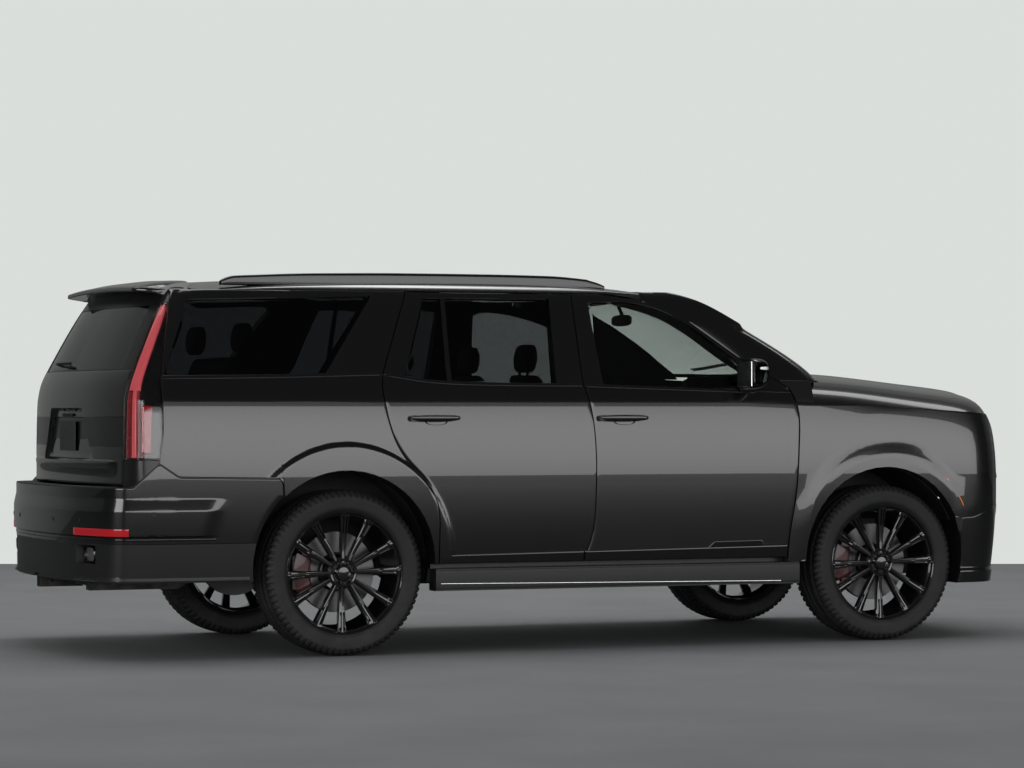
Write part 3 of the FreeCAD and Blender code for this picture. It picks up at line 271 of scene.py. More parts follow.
def nose_station(kind, y, z):
    """The plan station of the point at y and z on the left half of a hull's nose."""
    y, z = np.broadcast_arrays(np.asarray(y, float), np.asarray(z, float))
    found = solve(lambda v: -hull(kind, v, z.ravel())[:, 1], -y.ravel(), 2, 3)
    return found.reshape(y.shape)


def hull_normal(kind, v, z):
    """Outward unit normal of a hull, from differences along v and z."""
    step = 2e-4
    along = hull(kind, np.clip(v + step, 0, 3), z) - hull(kind, np.clip(v - step, 0, 3), z)
    up = hull(kind, v, z + 5 * step) - hull(kind, v, z - 5 * step)
    normal = np.cross(up, along)
    return normal / np.linalg.norm(normal, axis=-1, keepdims=True)


# Meshes


def coons(low, high, start, end):
    """A grid between four edges: the two ruled blends of facing edges, less the blend of corners."""
    rows, cols = len(start), len(low)
    u = np.linspace(0, 1, cols)[None, :, None]
    t = np.linspace(0, 1, rows)[:, None, None]
    ruled = (1 - t) * low[None] + t * high[None] + (1 - u) * start[:, None] + u * end[:, None]
    corners = (1 - t) * ((1 - u) * low[0] + u * low[-1]) + t * ((1 - u) * high[0] + u * high[-1])
    return ruled - corners


def grid_faces(rows, cols, wrap_rows=False, wrap_cols=False, flip=False):
    """Quads over a grid of points."""
    index = np.arange(rows * cols).reshape(rows, cols)
    if wrap_rows:
        index = np.concatenate([index, index[:1]], axis=0)
    if wrap_cols:
        index = np.concatenate([index, index[:, :1]], axis=1)
    quads = np.stack([index[:-1, :-1], index[:-1, 1:], index[1:, 1:], index[1:, :-1]], axis=-1).reshape(-1, 4)
    return quads[:, ::-1] if flip else quads


def rim_index(rows, cols):
    """Indices of a grid's border, once round."""
    index = np.arange(rows * cols).reshape(rows, cols)
    return np.concatenate([index[0, :-1], index[:-1, -1], index[-1, :0:-1], index[:0:-1, 0]])


def slab(points, normals, thick, edge=0.0012):
    """A closed panel: the grid, a rounded border, and a coarser grid moved in by its thickness, whose
    border is fanned to the fine one."""
    rows, cols = points.shape[:2]
    flat, normal = points.reshape(-1, 3), normals.reshape(-1, 3)
    border = rim_index(rows, cols)
    outward = np.zeros_like(points)
    outward[0] += unit(points[0] - points[1])
    outward[-1] += unit(points[-1] - points[-2])
    outward[:, 0] += unit(points[:, 0] - points[:, 1])
    outward[:, -1] += unit(points[:, -1] - points[:, -2])
    out = outward.reshape(-1, 3)[border]
    face = flat.copy()
    face[border] -= out * edge
    rings = [flat[border] - out * edge * (1 - math.sin(a)) - normal[border] * edge * (1 - math.cos(a))
             for a in (math.pi / 4, math.pi / 2)]
    rings.append(flat[border] - normal[border] * thick)
    faces = [grid_faces(rows, cols)]
    count = len(border)
    loops = [border] + [len(flat) + k * count + np.arange(count) for k in range(3)]
    for near, far in zip(loops[:-1], loops[1:]):
        faces.append(np.stack([near, far, np.roll(far, -1), np.roll(near, -1)], axis=1))
    r = np.unique(np.linspace(0, rows - 1, max(2, rows // 4 + 1)).round().astype(int))
    c = np.unique(np.linspace(0, cols - 1, max(2, cols // 4 + 1)).round().astype(int))
    back = (points - normals * (thick + 1e-4))[np.ix_(r, c)].reshape(-1, 3)
    base = len(flat) + 3 * count
    coarse = base + rim_index(len(r), len(c))
    marks = np.concatenate([c[:-1], cols - 1 + r[:-1], cols + rows - 2 + (cols - 1 - c[:0:-1]),
                            2 * cols + rows - 3 + (rows - 1 - r[:0:-1])])
    owner = np.searchsorted(marks, np.arange(count), side="right") - 1
    ahead = np.roll(owner, -1)
    last = loops[-1]
    faces.append(np.stack([np.roll(last, -1), last, coarse[owner], coarse[ahead]], axis=1))
    faces.append(base + grid_faces(len(r), len(c), flip=True))
    return np.concatenate([face] + rings + [back]), np.concatenate(faces)


def unit(vectors):
    """Vectors at length 1."""
    return vectors / np.maximum(np.linalg.norm(vectors, axis=-1, keepdims=True), 1e-12)


def tube(rings, cap=True):
    """A closed skin over a stack of rings (rings x points x 3), each ring closed, with fan caps."""
    count, around = rings.shape[:2]
    points = rings.reshape(-1, 3)
    faces = [grid_faces(count, around, wrap_cols=True)]
    if cap:
        middle = rings[[0, -1]].mean(axis=1)
        points = np.concatenate([points, middle])
        ring = np.arange(around)
        last = (count - 1) * around + ring
        low, high = count * around, count * around + 1
        faces.append(np.stack([np.full(around, low), np.roll(ring, -1), ring, ring], axis=1))
        faces.append(np.stack([np.full(around, high), last, np.roll(last, -1), np.roll(last, -1)], axis=1))
    return points, np.concatenate(faces)


def box_part(low, high, round_by=0.0):
    """A block between two corners as a mesh part; its corners are cut back by a chamfer."""
    low, high = np.array(low, float), np.array(high, float)
    c = round_by
    x0, y0, z0 = low
    x1, y1, z1 = high
    plan = np.array([(x0 + c, y0), (x1 - c, y0), (x1, y0 + c), (x1, y1 - c), (x1 - c, y1), (x0 + c, y1),
                     (x0, y1 - c), (x0, y0 + c)])
    middle = (low[:2] + high[:2]) / 2
    inner = middle + (plan - middle) * (1 - 2 * c / np.maximum(high[:2] - low[:2], 1e-6))
    levels = [(z0, inner), (z0 + c, plan), (z1 - c, plan), (z1, inner)] if c else [(z0, plan), (z1, plan)]
    rings = np.array([np.column_stack([outline, np.full(8, z)]) for z, outline in levels])
    return tube(rings)


def merged(parts):
    """Mesh parts as one."""
    points, faces, count = [], [], 0
    for part_points, part_faces in parts:
        points.append(part_points)
        faces.append(part_faces + count)
        count += len(part_points)
    return np.concatenate(points), np.concatenate(faces)


def mirrored(part):
    """The right-hand twin of a mesh part."""
    points, faces = part
    return points * np.array([1, -1, 1]), faces[:, ::-1]


def pair_of(parts):
    """Parts with their mirrors."""
    return parts + [mirrored(part) for part in parts]


def turned(part, angle, axis, origin):
    """A mesh part turned about an axis through a point, by Rodrigues' formula."""
    k = unit(np.array(axis, float))
    p = part[0] - origin
    c, s = math.cos(angle), math.sin(angle)
    moved = p * c + np.cross(k, p) * s + np.outer(p @ k, k) * (1 - c)
    return moved + origin, part[1]


def make(name, parts, material, body, replaces=(), smooth=35.0):
    """A finished piece from mesh parts: shaded smooth with sharp edges, ridden on its body."""
    points, faces = merged(parts)
    mesh = bpy.data.meshes.new(name)
    mesh.vertices.add(len(points))
    mesh.vertices.foreach_set("co", points.astype(np.float32).ravel())
    triangle = faces[:, 2] == faces[:, 3]
    sizes = np.where(triangle, 3, 4)
    keep = np.ones(faces.shape, bool)
    keep[triangle, 3] = False
    mesh.loops.add(int(sizes.sum()))
    mesh.loops.foreach_set("vertex_index", faces[keep].astype(np.int32))
    mesh.polygons.add(len(faces))
    starts = np.concatenate([[0], np.cumsum(sizes)[:-1]])
    mesh.polygons.foreach_set("loop_start", starts.astype(np.int32))
    mesh.update(calc_edges=True)
    mesh.validate()
    shell = bmesh.new()
    shell.from_mesh(mesh)
    bmesh.ops.remove_doubles(shell, verts=shell.verts, dist=1e-5)
    bmesh.ops.recalc_face_normals(shell, faces=shell.faces)
    shell.to_mesh(mesh)
    shell.free()
    mesh.polygons.foreach_set("use_smooth", np.ones(len(mesh.polygons), bool))
    mesh.set_sharp_from_angle(angle=math.radians(smooth))
    piece = bpy.data.objects.new(name, mesh)
    bpy.context.scene.collection.objects.link(piece)
    mesh.materials.append(material)
    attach(piece, body)
    if replaces:
        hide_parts(*replaces)
    return piece


# Shader groups and materials


def group(name, inputs, outputs, fill):
    """A shader node group with named sockets, built once. fill(tree, ins, outs) wires it."""
    tree = bpy.data.node_groups.get(name)
    if tree:
        return tree
    tree = bpy.data.node_groups.new(name, "ShaderNodeTree")
    for label, kind, default in inputs:
        socket = tree.interface.new_socket(label, in_out="INPUT", socket_type=kind)
        if default is not None:
            socket.default_value = default
    for label, kind in outputs:
        tree.interface.new_socket(label, in_out="OUTPUT", socket_type=kind)
    fill(tree, tree.nodes.new("NodeGroupInput").outputs, tree.nodes.new("NodeGroupOutput").inputs)
    return tree


def noise(tree, vector, scale, detail=3.0):
    """A noise texture node reading a vector."""
    node = tree.nodes.new("ShaderNodeTexNoise")
    node.inputs["Scale"].default_value = scale
    node.inputs["Detail"].default_value = detail
    tree.links.new(vector, node.inputs["Vector"])
    return node.outputs["Fac"]


def spanned(tree, value, low, high, to_low, to_high):
    """A value mapped from one range to another."""
    node = tree.nodes.new("ShaderNodeMapRange")
    for label, number in (("From Min", low), ("From Max", high), ("To Min", to_low), ("To Max", to_high)):
        if isinstance(number, (int, float)):
            node.inputs[label].default_value = number
        else:
            tree.links.new(number, node.inputs[label])
    tree.links.new(value, node.inputs["Value"])
    return node.outputs["Result"]


def math_node(tree, operation, first, second=0.0):
    """A math node of two sockets or numbers."""
    node = tree.nodes.new("ShaderNodeMath")
    node.operation = operation
    for socket, value in zip(node.inputs, (first, second)):
        if isinstance(value, (int, float)):
            socket.default_value = value
        else:
            tree.links.new(value, socket)
    return node.outputs[0]


def film_group():
    """Handling film: slow noise shifts a roughness, and fine noise gives a height."""
    def fill(tree, ins, outs):
        """Roughness is its base plus spread times noise at two scales."""
        slow = noise(tree, ins["Vector"], 2.2, 4)
        fine = noise(tree, ins["Vector"], 55.0, 2)
        both = math_node(tree, "MULTIPLY", math_node(tree, "ADD", slow, fine), 0.5)
        swing = math_node(tree, "MULTIPLY", math_node(tree, "SUBTRACT", both, 0.5), ins["Spread"])
        tree.links.new(math_node(tree, "ADD", swing, ins["Roughness"]), outs["Roughness"])
        tree.links.new(noise(tree, ins["Vector"], 420.0, 2), outs["Height"])
    return group("surface_film", [("Vector", "NodeSocketVector", None), ("Roughness", "NodeSocketFloat", 0.3),
                                  ("Spread", "NodeSocketFloat", 0.1)],
                 [("Roughness", "NodeSocketFloat"), ("Height", "NodeSocketFloat")], fill)


def grain_group():
    """Moulded or leather grain: cell edges of a fine pattern, with a slow change of colour."""
    def fill(tree, ins, outs):
        """Height is the distance to the nearest cell edge; the mask is slow noise."""
        cells = tree.nodes.new("ShaderNodeTexVoronoi")
        cells.feature = "DISTANCE_TO_EDGE"
        tree.links.new(ins["Vector"], cells.inputs["Vector"])
        tree.links.new(ins["Scale"], cells.inputs["Scale"])
        tree.links.new(spanned(tree, cells.outputs["Distance"], 0.0, 0.12, 0.0, 1.0), outs["Height"])
        tree.links.new(noise(tree, ins["Vector"], 9.0, 5), outs["Mask"])
    return group("moulded_grain", [("Vector", "NodeSocketVector", None), ("Scale", "NodeSocketFloat", 900.0)],
                 [("Height", "NodeSocketFloat"), ("Mask", "NodeSocketFloat")], fill)


def dust_group():
    """Road dust: more of it low down, broken up by noise."""
    def fill(tree, ins, outs):
        """The mask fades from the ground up to a height, times noise."""
        split = tree.nodes.new("ShaderNodeSeparateXYZ")
        tree.links.new(ins["Vector"], split.inputs[0])
        low = spanned(tree, split.outputs["Z"], 0.15, ins["Height"], 1.0, 0.0)
        spots = spanned(tree, noise(tree, ins["Vector"], 14.0, 6), 0.38, 0.75, 0.0, 1.0)
        tree.links.new(math_node(tree, "MULTIPLY", low, spots), outs["Mask"])
    return group("road_dust", [("Vector", "NodeSocketVector", None), ("Height", "NodeSocketFloat", 0.6)],
                 [("Mask", "NodeSocketFloat")], fill)


def tinted(tree, share, base, link, color):
    """A colour that goes from a base, or from a link where there is one, to another colour by a share."""
    mix = tree.nodes.new("ShaderNodeMix")
    mix.data_type = "RGBA"
    tree.links.new(share, mix.inputs[0])
    mix.inputs[6].default_value = base
    if link:
        tree.links.new(link, mix.inputs[6])
    mix.inputs[7].default_value = color
    return mix.outputs[2]


def material(name, color, roughness=0.4, metallic=0.0, film=0.08, bump=0.0, grain=0.0, dust=0.0,
             coat=0.0, coat_roughness=0.03, specular=0.5, transmission=0.0, emission=None, ior=None):
    """A finish: a principled shader whose roughness, height and colour come from the shared groups."""
    made = bpy.data.materials.get(name)
    if made:
        return made
    made = bpy.data.materials.new(name)
    made.use_nodes = True
    tree = made.node_tree
    shader = tree.nodes["Principled BSDF"]
    settings = {"Roughness": roughness, "Metallic": metallic, "Coat Weight": coat,
                "Coat Roughness": coat_roughness, "Specular IOR Level": specular,
                "Transmission Weight": transmission}
    if ior:
        settings["IOR"] = ior
    for label, value in settings.items():
        shader.inputs[label].default_value = value
    base = tuple(color) + (1.0,)
    shader.inputs["Base Color"].default_value = base
    if emission:
        shader.inputs["Emission Color"].default_value = tuple(emission[0]) + (1.0,)
        shader.inputs["Emission Strength"].default_value = emission[1]
    place = tree.nodes.new("ShaderNodeTexCoord").outputs["Object"]
    if film:
        shade = tree.nodes.new("ShaderNodeGroup")
        shade.node_tree = film_group()
        shade.inputs["Roughness"].default_value = roughness
        shade.inputs["Spread"].default_value = film
        tree.links.new(place, shade.inputs["Vector"])
        tree.links.new(shade.outputs["Roughness"], shader.inputs["Roughness"])
    color_out = None
    if grain:
        cells = tree.nodes.new("ShaderNodeGroup")
        cells.node_tree = grain_group()
        cells.inputs["Scale"].default_value = grain
        tree.links.new(place, cells.inputs["Vector"])
        share = spanned(tree, cells.outputs["Mask"], 0.3, 0.7, 0.0, 0.5)
        color_out = tinted(tree, share, base, None, tuple(1.5 * c + 0.004 for c in color) + (1.0,))
    if dust:
        powder = tree.nodes.new("ShaderNodeGroup")
        powder.node_tree = dust_group()
        tree.links.new(place, powder.inputs["Vector"])
        share = math_node(tree, "MULTIPLY", powder.outputs["Mask"], dust)
        color_out = tinted(tree, share, base, color_out, (0.16, 0.145, 0.125, 1.0))
    if color_out:
        tree.links.new(color_out, shader.inputs["Base Color"])
    if bump:
        node = tree.nodes.new("ShaderNodeBump")
        node.inputs["Strength"].default_value = 1.0
        node.inputs["Distance"].default_value = bump
        tree.links.new(cells.outputs["Height"] if grain else shade.outputs["Height"], node.inputs["Height"])
        tree.links.new(node.outputs["Normal"], shader.inputs["Normal"])
    return made


def finishes():
    """Every finish of the vehicle, by name."""
    look = bpy.context.scene.vehicle_look
    return {
        "paint": material("deep_black_paint", look.paint, 0.22, coat=1.0, coat_roughness=0.012, film=0.02,
                          specular=0.6),
        "trim": material("gloss_black_trim", look.trim, 0.12, film=0.05, coat=0.5),
        "jamb": material("jamb_paint", (0.006, 0.006, 0.0065), 0.34, film=0.1, coat=0.4, coat_roughness=0.15,
                         dust=0.15),
        "cabin": material("soft_black_moulding", (0.014, 0.014, 0.0145), 0.6, film=0.1, grain=800.0,
                          bump=0.0001),
        "smoked_metal": material("smoked_bright_metal", (0.10, 0.10, 0.105), 0.18, metallic=1.0, film=0.08),
        "satin": material("satin_black_trim", (0.012, 0.012, 0.013), 0.38, film=0.12),
        "plastic": material("grained_plastic", (0.014, 0.014, 0.015), 0.55, film=0.1, grain=700.0,
                            bump=0.00012, dust=0.25),
        "rubber": material("seal_rubber", (0.008, 0.008, 0.008), 0.62, film=0.1),
        "tyre": material("tyre_rubber", (0.011, 0.011, 0.0115), 0.6, film=0.16, grain=260.0, bump=0.0001,
                         dust=0.1),
        "rim": material("gloss_black_wheel", (0.008, 0.008, 0.0085), 0.16, film=0.04, coat=1.0,
                        coat_roughness=0.02),
        "bright": material("polished_metal", (0.72, 0.72, 0.73), 0.12, metallic=1.0, film=0.06),
        "disc": material("brake_disc_steel", (0.13, 0.13, 0.135), 0.34, metallic=1.0, film=0.2, bump=0.00003),
        "caliper": material("dark_red_caliper", (0.075, 0.006, 0.007), 0.3, film=0.08, coat=0.4),
        "steel": material("coated_steel", (0.02, 0.02, 0.021), 0.5, metallic=0.3, film=0.25, bump=0.0001,
                          dust=0.7),
        "exhaust": material("exhaust_steel", (0.33, 0.32, 0.31), 0.3, metallic=1.0, film=0.25, dust=0.5),
        "engine": material("cast_alloy", (0.30, 0.30, 0.31), 0.45, metallic=0.9, film=0.2, bump=0.0002),
        "carpet": material("loop_carpet", (0.02, 0.02, 0.021), 0.95, film=0.05, grain=420.0, bump=0.0008),
        "leather": material("black_leather", (0.022, 0.022, 0.023), 0.42, film=0.12, grain=520.0,
                            bump=0.00018),
        "clear": material("tinted_glass", look.glass, 0.0, film=0.0, transmission=1.0, ior=1.45),
        "dark": material("privacy_glass", look.privacy, 0.0, film=0.0, transmission=1.0, ior=1.45),
        "lens": material("clear_lens", (0.93, 0.94, 0.95), 0.02, film=0.02, transmission=1.0, ior=1.4),
        # A faint red glow: lamp light on the tail lamp ribs and the high brake lamp, but a painted glow on the
        # reflectors, which are no lamps
        "red_lens": material("red_lens", (0.34, 0.008, 0.012), 0.08, film=0.04, coat=1.0,
                             emission=((0.8, 0.03, 0.05), 0.12)),
        "red_glow": material("red_light_guide", (0.72, 0.11, 0.12), 0.12, film=0.04, coat=1.0,
                             emission=((0.95, 0.14, 0.16), 0.28)),
        "white_lens": material("white_light_guide", (0.85, 0.86, 0.88), 0.12, film=0.04, coat=1.0,
                               emission=((0.9, 0.93, 1.0), 0.2)),
        "amber": material("amber_lens", (0.85, 0.22, 0.01), 0.12, film=0.04, coat=1.0,
                          emission=((1.0, 0.25, 0.02), 0.3)),
    }


# Sizes and colours that a user would change


class VehicleLook(bpy.types.PropertyGroup):
    """Colours of the vehicle's finishes."""
    paint: bpy.props.FloatVectorProperty(name="Paint", description="Colour under the clear coat",
                                         subtype="COLOR", size=3, default=(0.0035, 0.0035, 0.004))
    trim: bpy.props.FloatVectorProperty(name="Trim", description="Colour of the gloss trim",
                                        subtype="COLOR", size=3, default=(0.006, 0.006, 0.0065))
    glass: bpy.props.FloatVectorProperty(name="Front glass", description="Tint of the front glass",
                                         subtype="COLOR", size=3, default=(0.62, 0.66, 0.64))
    privacy: bpy.props.FloatVectorProperty(name="Privacy glass", description="Tint of the rear glass",
                                           subtype="COLOR", size=3, default=(0.10, 0.105, 0.11))


class VehicleStudio(bpy.types.PropertyGroup):
    """The studio round the vehicle."""
    distance: bpy.props.FloatProperty(name="Camera distance", description="From the side's plane",
                                      default=16.9588, unit="LENGTH")
    height: bpy.props.FloatProperty(name="Camera height", description="Above the floor", default=1.2493,
                                    unit="LENGTH")
    behind: bpy.props.FloatProperty(name="Camera offset", description="Behind the rear axle",
                                    default=5.6893, unit="LENGTH")
    lens: bpy.props.FloatProperty(name="Lens", description="Focal length in millimetres", default=118.2)
    wall: bpy.props.FloatProperty(name="Wall distance", description="Behind the vehicle's middle",
                                  default=8.6, unit="LENGTH")


class VehicleSizes(bpy.types.PropertyGroup):
    """Sizes of what the scene adds to the solids."""
    skin: bpy.props.FloatProperty(name="Skin", description="Thickness of the painted skins",
                                  default=0.0042, unit="LENGTH")
    spokes: bpy.props.IntProperty(name="Spoke pairs", description="Pairs of spokes in a wheel", default=6)
    flare: bpy.props.FloatProperty(name="Flare", description="How far the arch flares stand out",
                                   default=0.009, unit="LENGTH")
    blocks: bpy.props.IntProperty(name="Tread blocks", description="Shoulder blocks round a tyre",
                                  default=78)


# Outlines seen from the side, as in the solids


DOOR_BOTTOM = 0.458
FRONT_DOOR_EDGE = [(front(-0.585), DOOR_BOTTOM), (front(-0.575), 0.585), (front(-0.546), 0.759),
                   (front(-0.522), 1.078), (front(-0.528), 1.265), (front(-0.562), 1.350)]
SCREEN_PILLAR = [(front(-0.562), 1.350), (front(-0.671), 1.420), (front(-0.833), 1.515),
                 (front(-1.096), 1.704), (front(-1.364), 1.813), (front(-1.652), 1.844)]
B_EDGE = [(B_PILLAR, 1.373), (B_PILLAR + 0.024, 1.283), (B_PILLAR + 0.050, 1.088),
          (B_PILLAR + 0.052, 0.752), (B_PILLAR + 0.038, 0.598), (B_PILLAR - 0.012, DOOR_BOTTOM)]
REAR_DOOR_EDGE = [(rear(0.500), 0.600), (rear(0.488), 0.756), (rear(0.424), 0.883), (rear(0.316), 0.996),
                  (rear(0.208), 1.295), (rear(0.204), 1.337), (rear(0.216), 1.423)]
DOOR_TOP = 1.846
FRONT_WINDOW = {"low": [(front(-1.639), 1.362), (front(-0.760), 1.335)],
                "front": [(front(-0.760), 1.335), (front(-0.852), 1.500)],
                "bow": [(front(-0.852), 1.500), (front(-1.156), 1.721), (front(-1.291), 1.778),
                        (front(-1.499), 1.812)],
                "top": [(front(-1.499), 1.812), (front(-1.667), 1.800)]}
REAR_WINDOW = [(rear(0.482), 1.815), (rear(0.333), 1.408), (rear(0.588), 1.379), (B_PILLAR - 0.147, 1.371),
               (B_PILLAR - 0.128, 1.818)]
QUARTER_WINDOW = [(rear(-0.772), 1.792), (rear(-0.937), 1.403), (rear(-0.097), 1.410), (rear(0.200), 1.820)]
ARCH_HIGH = HUB + 0.036
ARCH_RADIUS = 0.482
LAMP_X = rear(-0.952)


def along(path, z_low, z_high, count=60):
    """The stretch of a path between two heights, from low to high."""
    path = np.asarray(path, float)
    path = path[np.argsort(path[:, 1])]
    z = np.linspace(z_low, z_high, count)
    return np.column_stack([np.interp(z, path[:, 1], path[:, 0]), z])


def shifted(path, distance):
    """A path moved along x."""
    return np.asarray(path, float) + np.array([distance, 0])


def arch_arc(axle, start, end, radius=ARCH_RADIUS, count=90):
    """An arc round a wheel arch's centre, between two angles from the front, in degrees."""
    angle = np.radians(np.linspace(start, end, count))
    return np.column_stack([axle + radius * np.cos(angle), ARCH_HIGH + radius * np.sin(angle)])


def ease(value, low, high):
    """A smooth step from 0 at low to 1 at high."""
    t = np.clip((value - low) / (high - low), 0, 1)
    return t * t * (3 - 2 * t)


def flare(x, z):
    """How far the arch flares stand out: a step down outside a stretched circle round each wheel."""
    lift = bpy.context.scene.vehicle_sizes.flare
    total = 0
    for axle, reach in ((REAR_AXLE, 0.588), (FRONT_AXLE, 0.560)):
        radius = np.hypot(x - axle, 0.95 * (z - ARCH_HIGH))
        total = total + lift * (1 - ease(radius, reach - 0.018, reach + 0.004))
    return total


def side_patch(kind, low, high, start, end, rows, cols, ends=0.0, lift=True, proud=PROUD):
    """A grid of hull points between four side-view edges, raised along the normals by the flares."""
    grid = coons(spread(low, cols), spread(high, cols), spread(start, rows, ends), spread(end, rows, ends))
    x, z = grid[..., 0], grid[..., 1]
    v = station(kind, x, z)
    normals = hull_normal(kind, v, z)
    raised = proud + (flare(x, z) if lift else 0 * x)
    return hull(kind, v, z) + normals * raised[..., None], normals


def stacked(*patches):
    """Patches joined row to row, without the repeated rows."""
    points = np.concatenate([patches[0][0]] + [patch[0][1:] for patch in patches[1:]])
    normals = np.concatenate([patches[0][1]] + [patch[1][1:] for patch in patches[1:]])
    return points, normals


def both_sides(name, parts, finish, body, replaces=(), smooth=35.0):
    """A piece made on the left and its mirror on the right. Names in braces take the side."""
    made = []
    for side, sign in SIDES.items():
        chosen = parts if sign > 0 else [mirrored(part) for part in parts]
        made.append(make(name.format(side=side), chosen, finish, body.format(side=side),
                         [node.format(side=side) for node in replaces], smooth))
    return made


def front_belt(x):
    """Height of the belt line on the front door."""
    return 1.362 - 0.0307 * (x - front(-1.639))


class VEHICLE_OT_front_doors(bpy.types.Operator):
    """Skins of the front doors: a lower panel with a shoulder crease and a frame round the window"""
    bl_idname = "vehicle.front_doors"
    bl_label = "Front doors"

    def execute(self, context):
        finish = finishes()
        edge = shifted(curve(FRONT_DOOR_EDGE), -SHUT)
        back = shifted(curve(B_EDGE), SHUT)
        low = DOOR_BOTTOM + SHUT
        f_low, f_high = along(edge, low, CREASE), along(edge, CREASE, 1.331)
        b_low, b_high = along(back, low, CREASE), along(back, CREASE, front_belt(B_PILLAR))
        lower = side_patch("nose", [b_low[0], f_low[0]], [b_low[-1], f_low[-1]], b_low, f_low, 46, 64, 0.6)
        upper = side_patch("cabin", [b_high[0], f_high[0]], [b_high[-1], f_high[-1]], b_high, f_high, 12, 64)
        skin = context.scene.vehicle_sizes.skin
        points, normals = stacked(lower, upper)
        outer = [join([f_high[-1]], spread(shifted(curve(SCREEN_PILLAR), -SHUT), 70),
                      [(B_PILLAR + SHUT, DOOR_TOP - SHUT)]),
                 [(B_PILLAR + SHUT, DOOR_TOP - SHUT), b_high[-1]]]
        inner = [join(FRONT_WINDOW["front"], curve(FRONT_WINDOW["bow"]), FRONT_WINDOW["top"]),
                 [FRONT_WINDOW["top"][-1], FRONT_WINDOW["low"][0]]]
        frame_patch = strip_patch(inner, outer, (90, 30))
        both_sides("front_door_skin_{side}", [slab(points, normals, skin)], finish["paint"],
                   "door_front_{side}")
        both_sides("front_door_frame_{side}", [slab(*frame_patch, 0.020)], finish["trim"],
                   "door_front_{side}")
        pane = side_patch("cabin", *pane_edges([FRONT_WINDOW["low"], FRONT_WINDOW["front"],
                                                join(FRONT_WINDOW["bow"], FRONT_WINDOW["top"][1:]),
                                                [FRONT_WINDOW["top"][-1], FRONT_WINDOW["low"][0]]]),
                          28, 40, lift=False, proud=-0.014)
        both_sides("front_door_pane_{side}", [slab(*pane, 0.005)], finish["clear"], "door_front_{side}",
                   ("door_glass_front_{side}",))
        return {"FINISHED"}


def strip_patch(inner, outer, counts, rows=6, proud=PROUD):
    """A grid across the strip between an inner and an outer line, matched leg by leg."""
    low = join(*[spread(leg, count)[(1 if number else 0):] for number, (leg, count)
                 in enumerate(zip(inner, counts))])
    high = join(*[spread(leg, count)[(1 if number else 0):] for number, (leg, count)
                  in enumerate(zip(outer, counts))])
    t = np.linspace(0, 1, rows)[:, None, None]
    grid = (1 - t) * low[None] + t * high[None]
    x, z = grid[..., 0], grid[..., 1]
    v = station("cabin", x, z)
    normals = hull_normal("cabin", v, z)
    points = hull("cabin", v, z) + normals * proud
    area = np.cross(points[1, 1] - points[0, 0], points[1, 0] - points[0, 1])
    if area @ normals[0, 0] > 0:
        return points[:, ::-1], normals[:, ::-1]
    return points, normals


def pane_edges(legs):
    """Low, high, start and end edges of a window from its four legs, in turn from the lower rear."""
    low, fore, top, back = [np.asarray(leg, float) for leg in legs]
    return low, top[::-1], back[::-1], fore


class VEHICLE_OT_rear_doors(bpy.types.Operator):
    """Skins of the rear doors, with the cut-back corner over the wheel arch"""
    bl_idname = "vehicle.rear_doors"
    bl_label = "Rear doors"

    def execute(self, context):
        finish = finishes()
        edge = join([(rear(0.500), DOOR_BOTTOM)], curve(REAR_DOOR_EDGE))
        edge = shifted(edge, SHUT)
        front_edge = shifted(curve(B_EDGE), -SHUT)
        low = DOOR_BOTTOM + SHUT
        b_low, b_high = along(edge, low, CREASE), along(edge, CREASE, 1.420)
        f_low, f_high = along(front_edge, low, CREASE), along(front_edge, CREASE, 1.366)
        lower = side_patch("cabin", [b_low[0], f_low[0]], [b_low[-1], f_low[-1]], b_low, f_low, 60, 64, 0.5)
        belt = [b_high[-1], (rear(0.333), 1.402), (rear(0.588), 1.374), f_high[-1]]
        upper = side_patch("cabin", [b_high[0], f_high[0]], belt, b_high, f_high, 12, 64)
        points, normals = stacked(lower, upper)
        skin = context.scene.vehicle_sizes.skin
        both_sides("rear_door_skin_{side}", [slab(points, normals, skin)], finish["paint"],
                   "door_rear_{side}")
        top = DOOR_TOP - SHUT
        outer = [[f_high[-1], (B_PILLAR - SHUT, top)], [(B_PILLAR - SHUT, top), (rear(0.392) + SHUT, top)],
                 [(rear(0.392) + SHUT, top), b_high[-1]]]
        inner = [[REAR_WINDOW[3], REAR_WINDOW[4]], [REAR_WINDOW[4], REAR_WINDOW[0]],
                 [REAR_WINDOW[0], REAR_WINDOW[1]]]
        frame_patch = strip_patch(inner, outer, (30, 50, 30))
        bar = side_patch("cabin", [(rear(0.562), 1.379), (rear(0.588), 1.377)],
                         [(rear(0.580), 1.816), (rear(0.603), 1.816)],
                         [(rear(0.562), 1.379), (rear(0.580), 1.816)],
                         [(rear(0.588), 1.377), (rear(0.603), 1.816)], 24, 4, lift=False, proud=-0.004)
        both_sides("rear_door_frame_{side}", [slab(*frame_patch, 0.020), slab(*bar, 0.010)],
                   finish["trim"], "door_rear_{side}")
        pane = side_patch("cabin", [REAR_WINDOW[1], REAR_WINDOW[2], REAR_WINDOW[3]],
                          [REAR_WINDOW[0], REAR_WINDOW[4]], [REAR_WINDOW[1], REAR_WINDOW[0]],
                          [REAR_WINDOW[3], REAR_WINDOW[4]], 28, 40, lift=False, proud=-0.014)
        both_sides("rear_door_pane_{side}", [slab(*pane, 0.005)], finish["dark"], "door_rear_{side}",
                   ("door_glass_rear_{side}",))
        return {"FINISHED"}


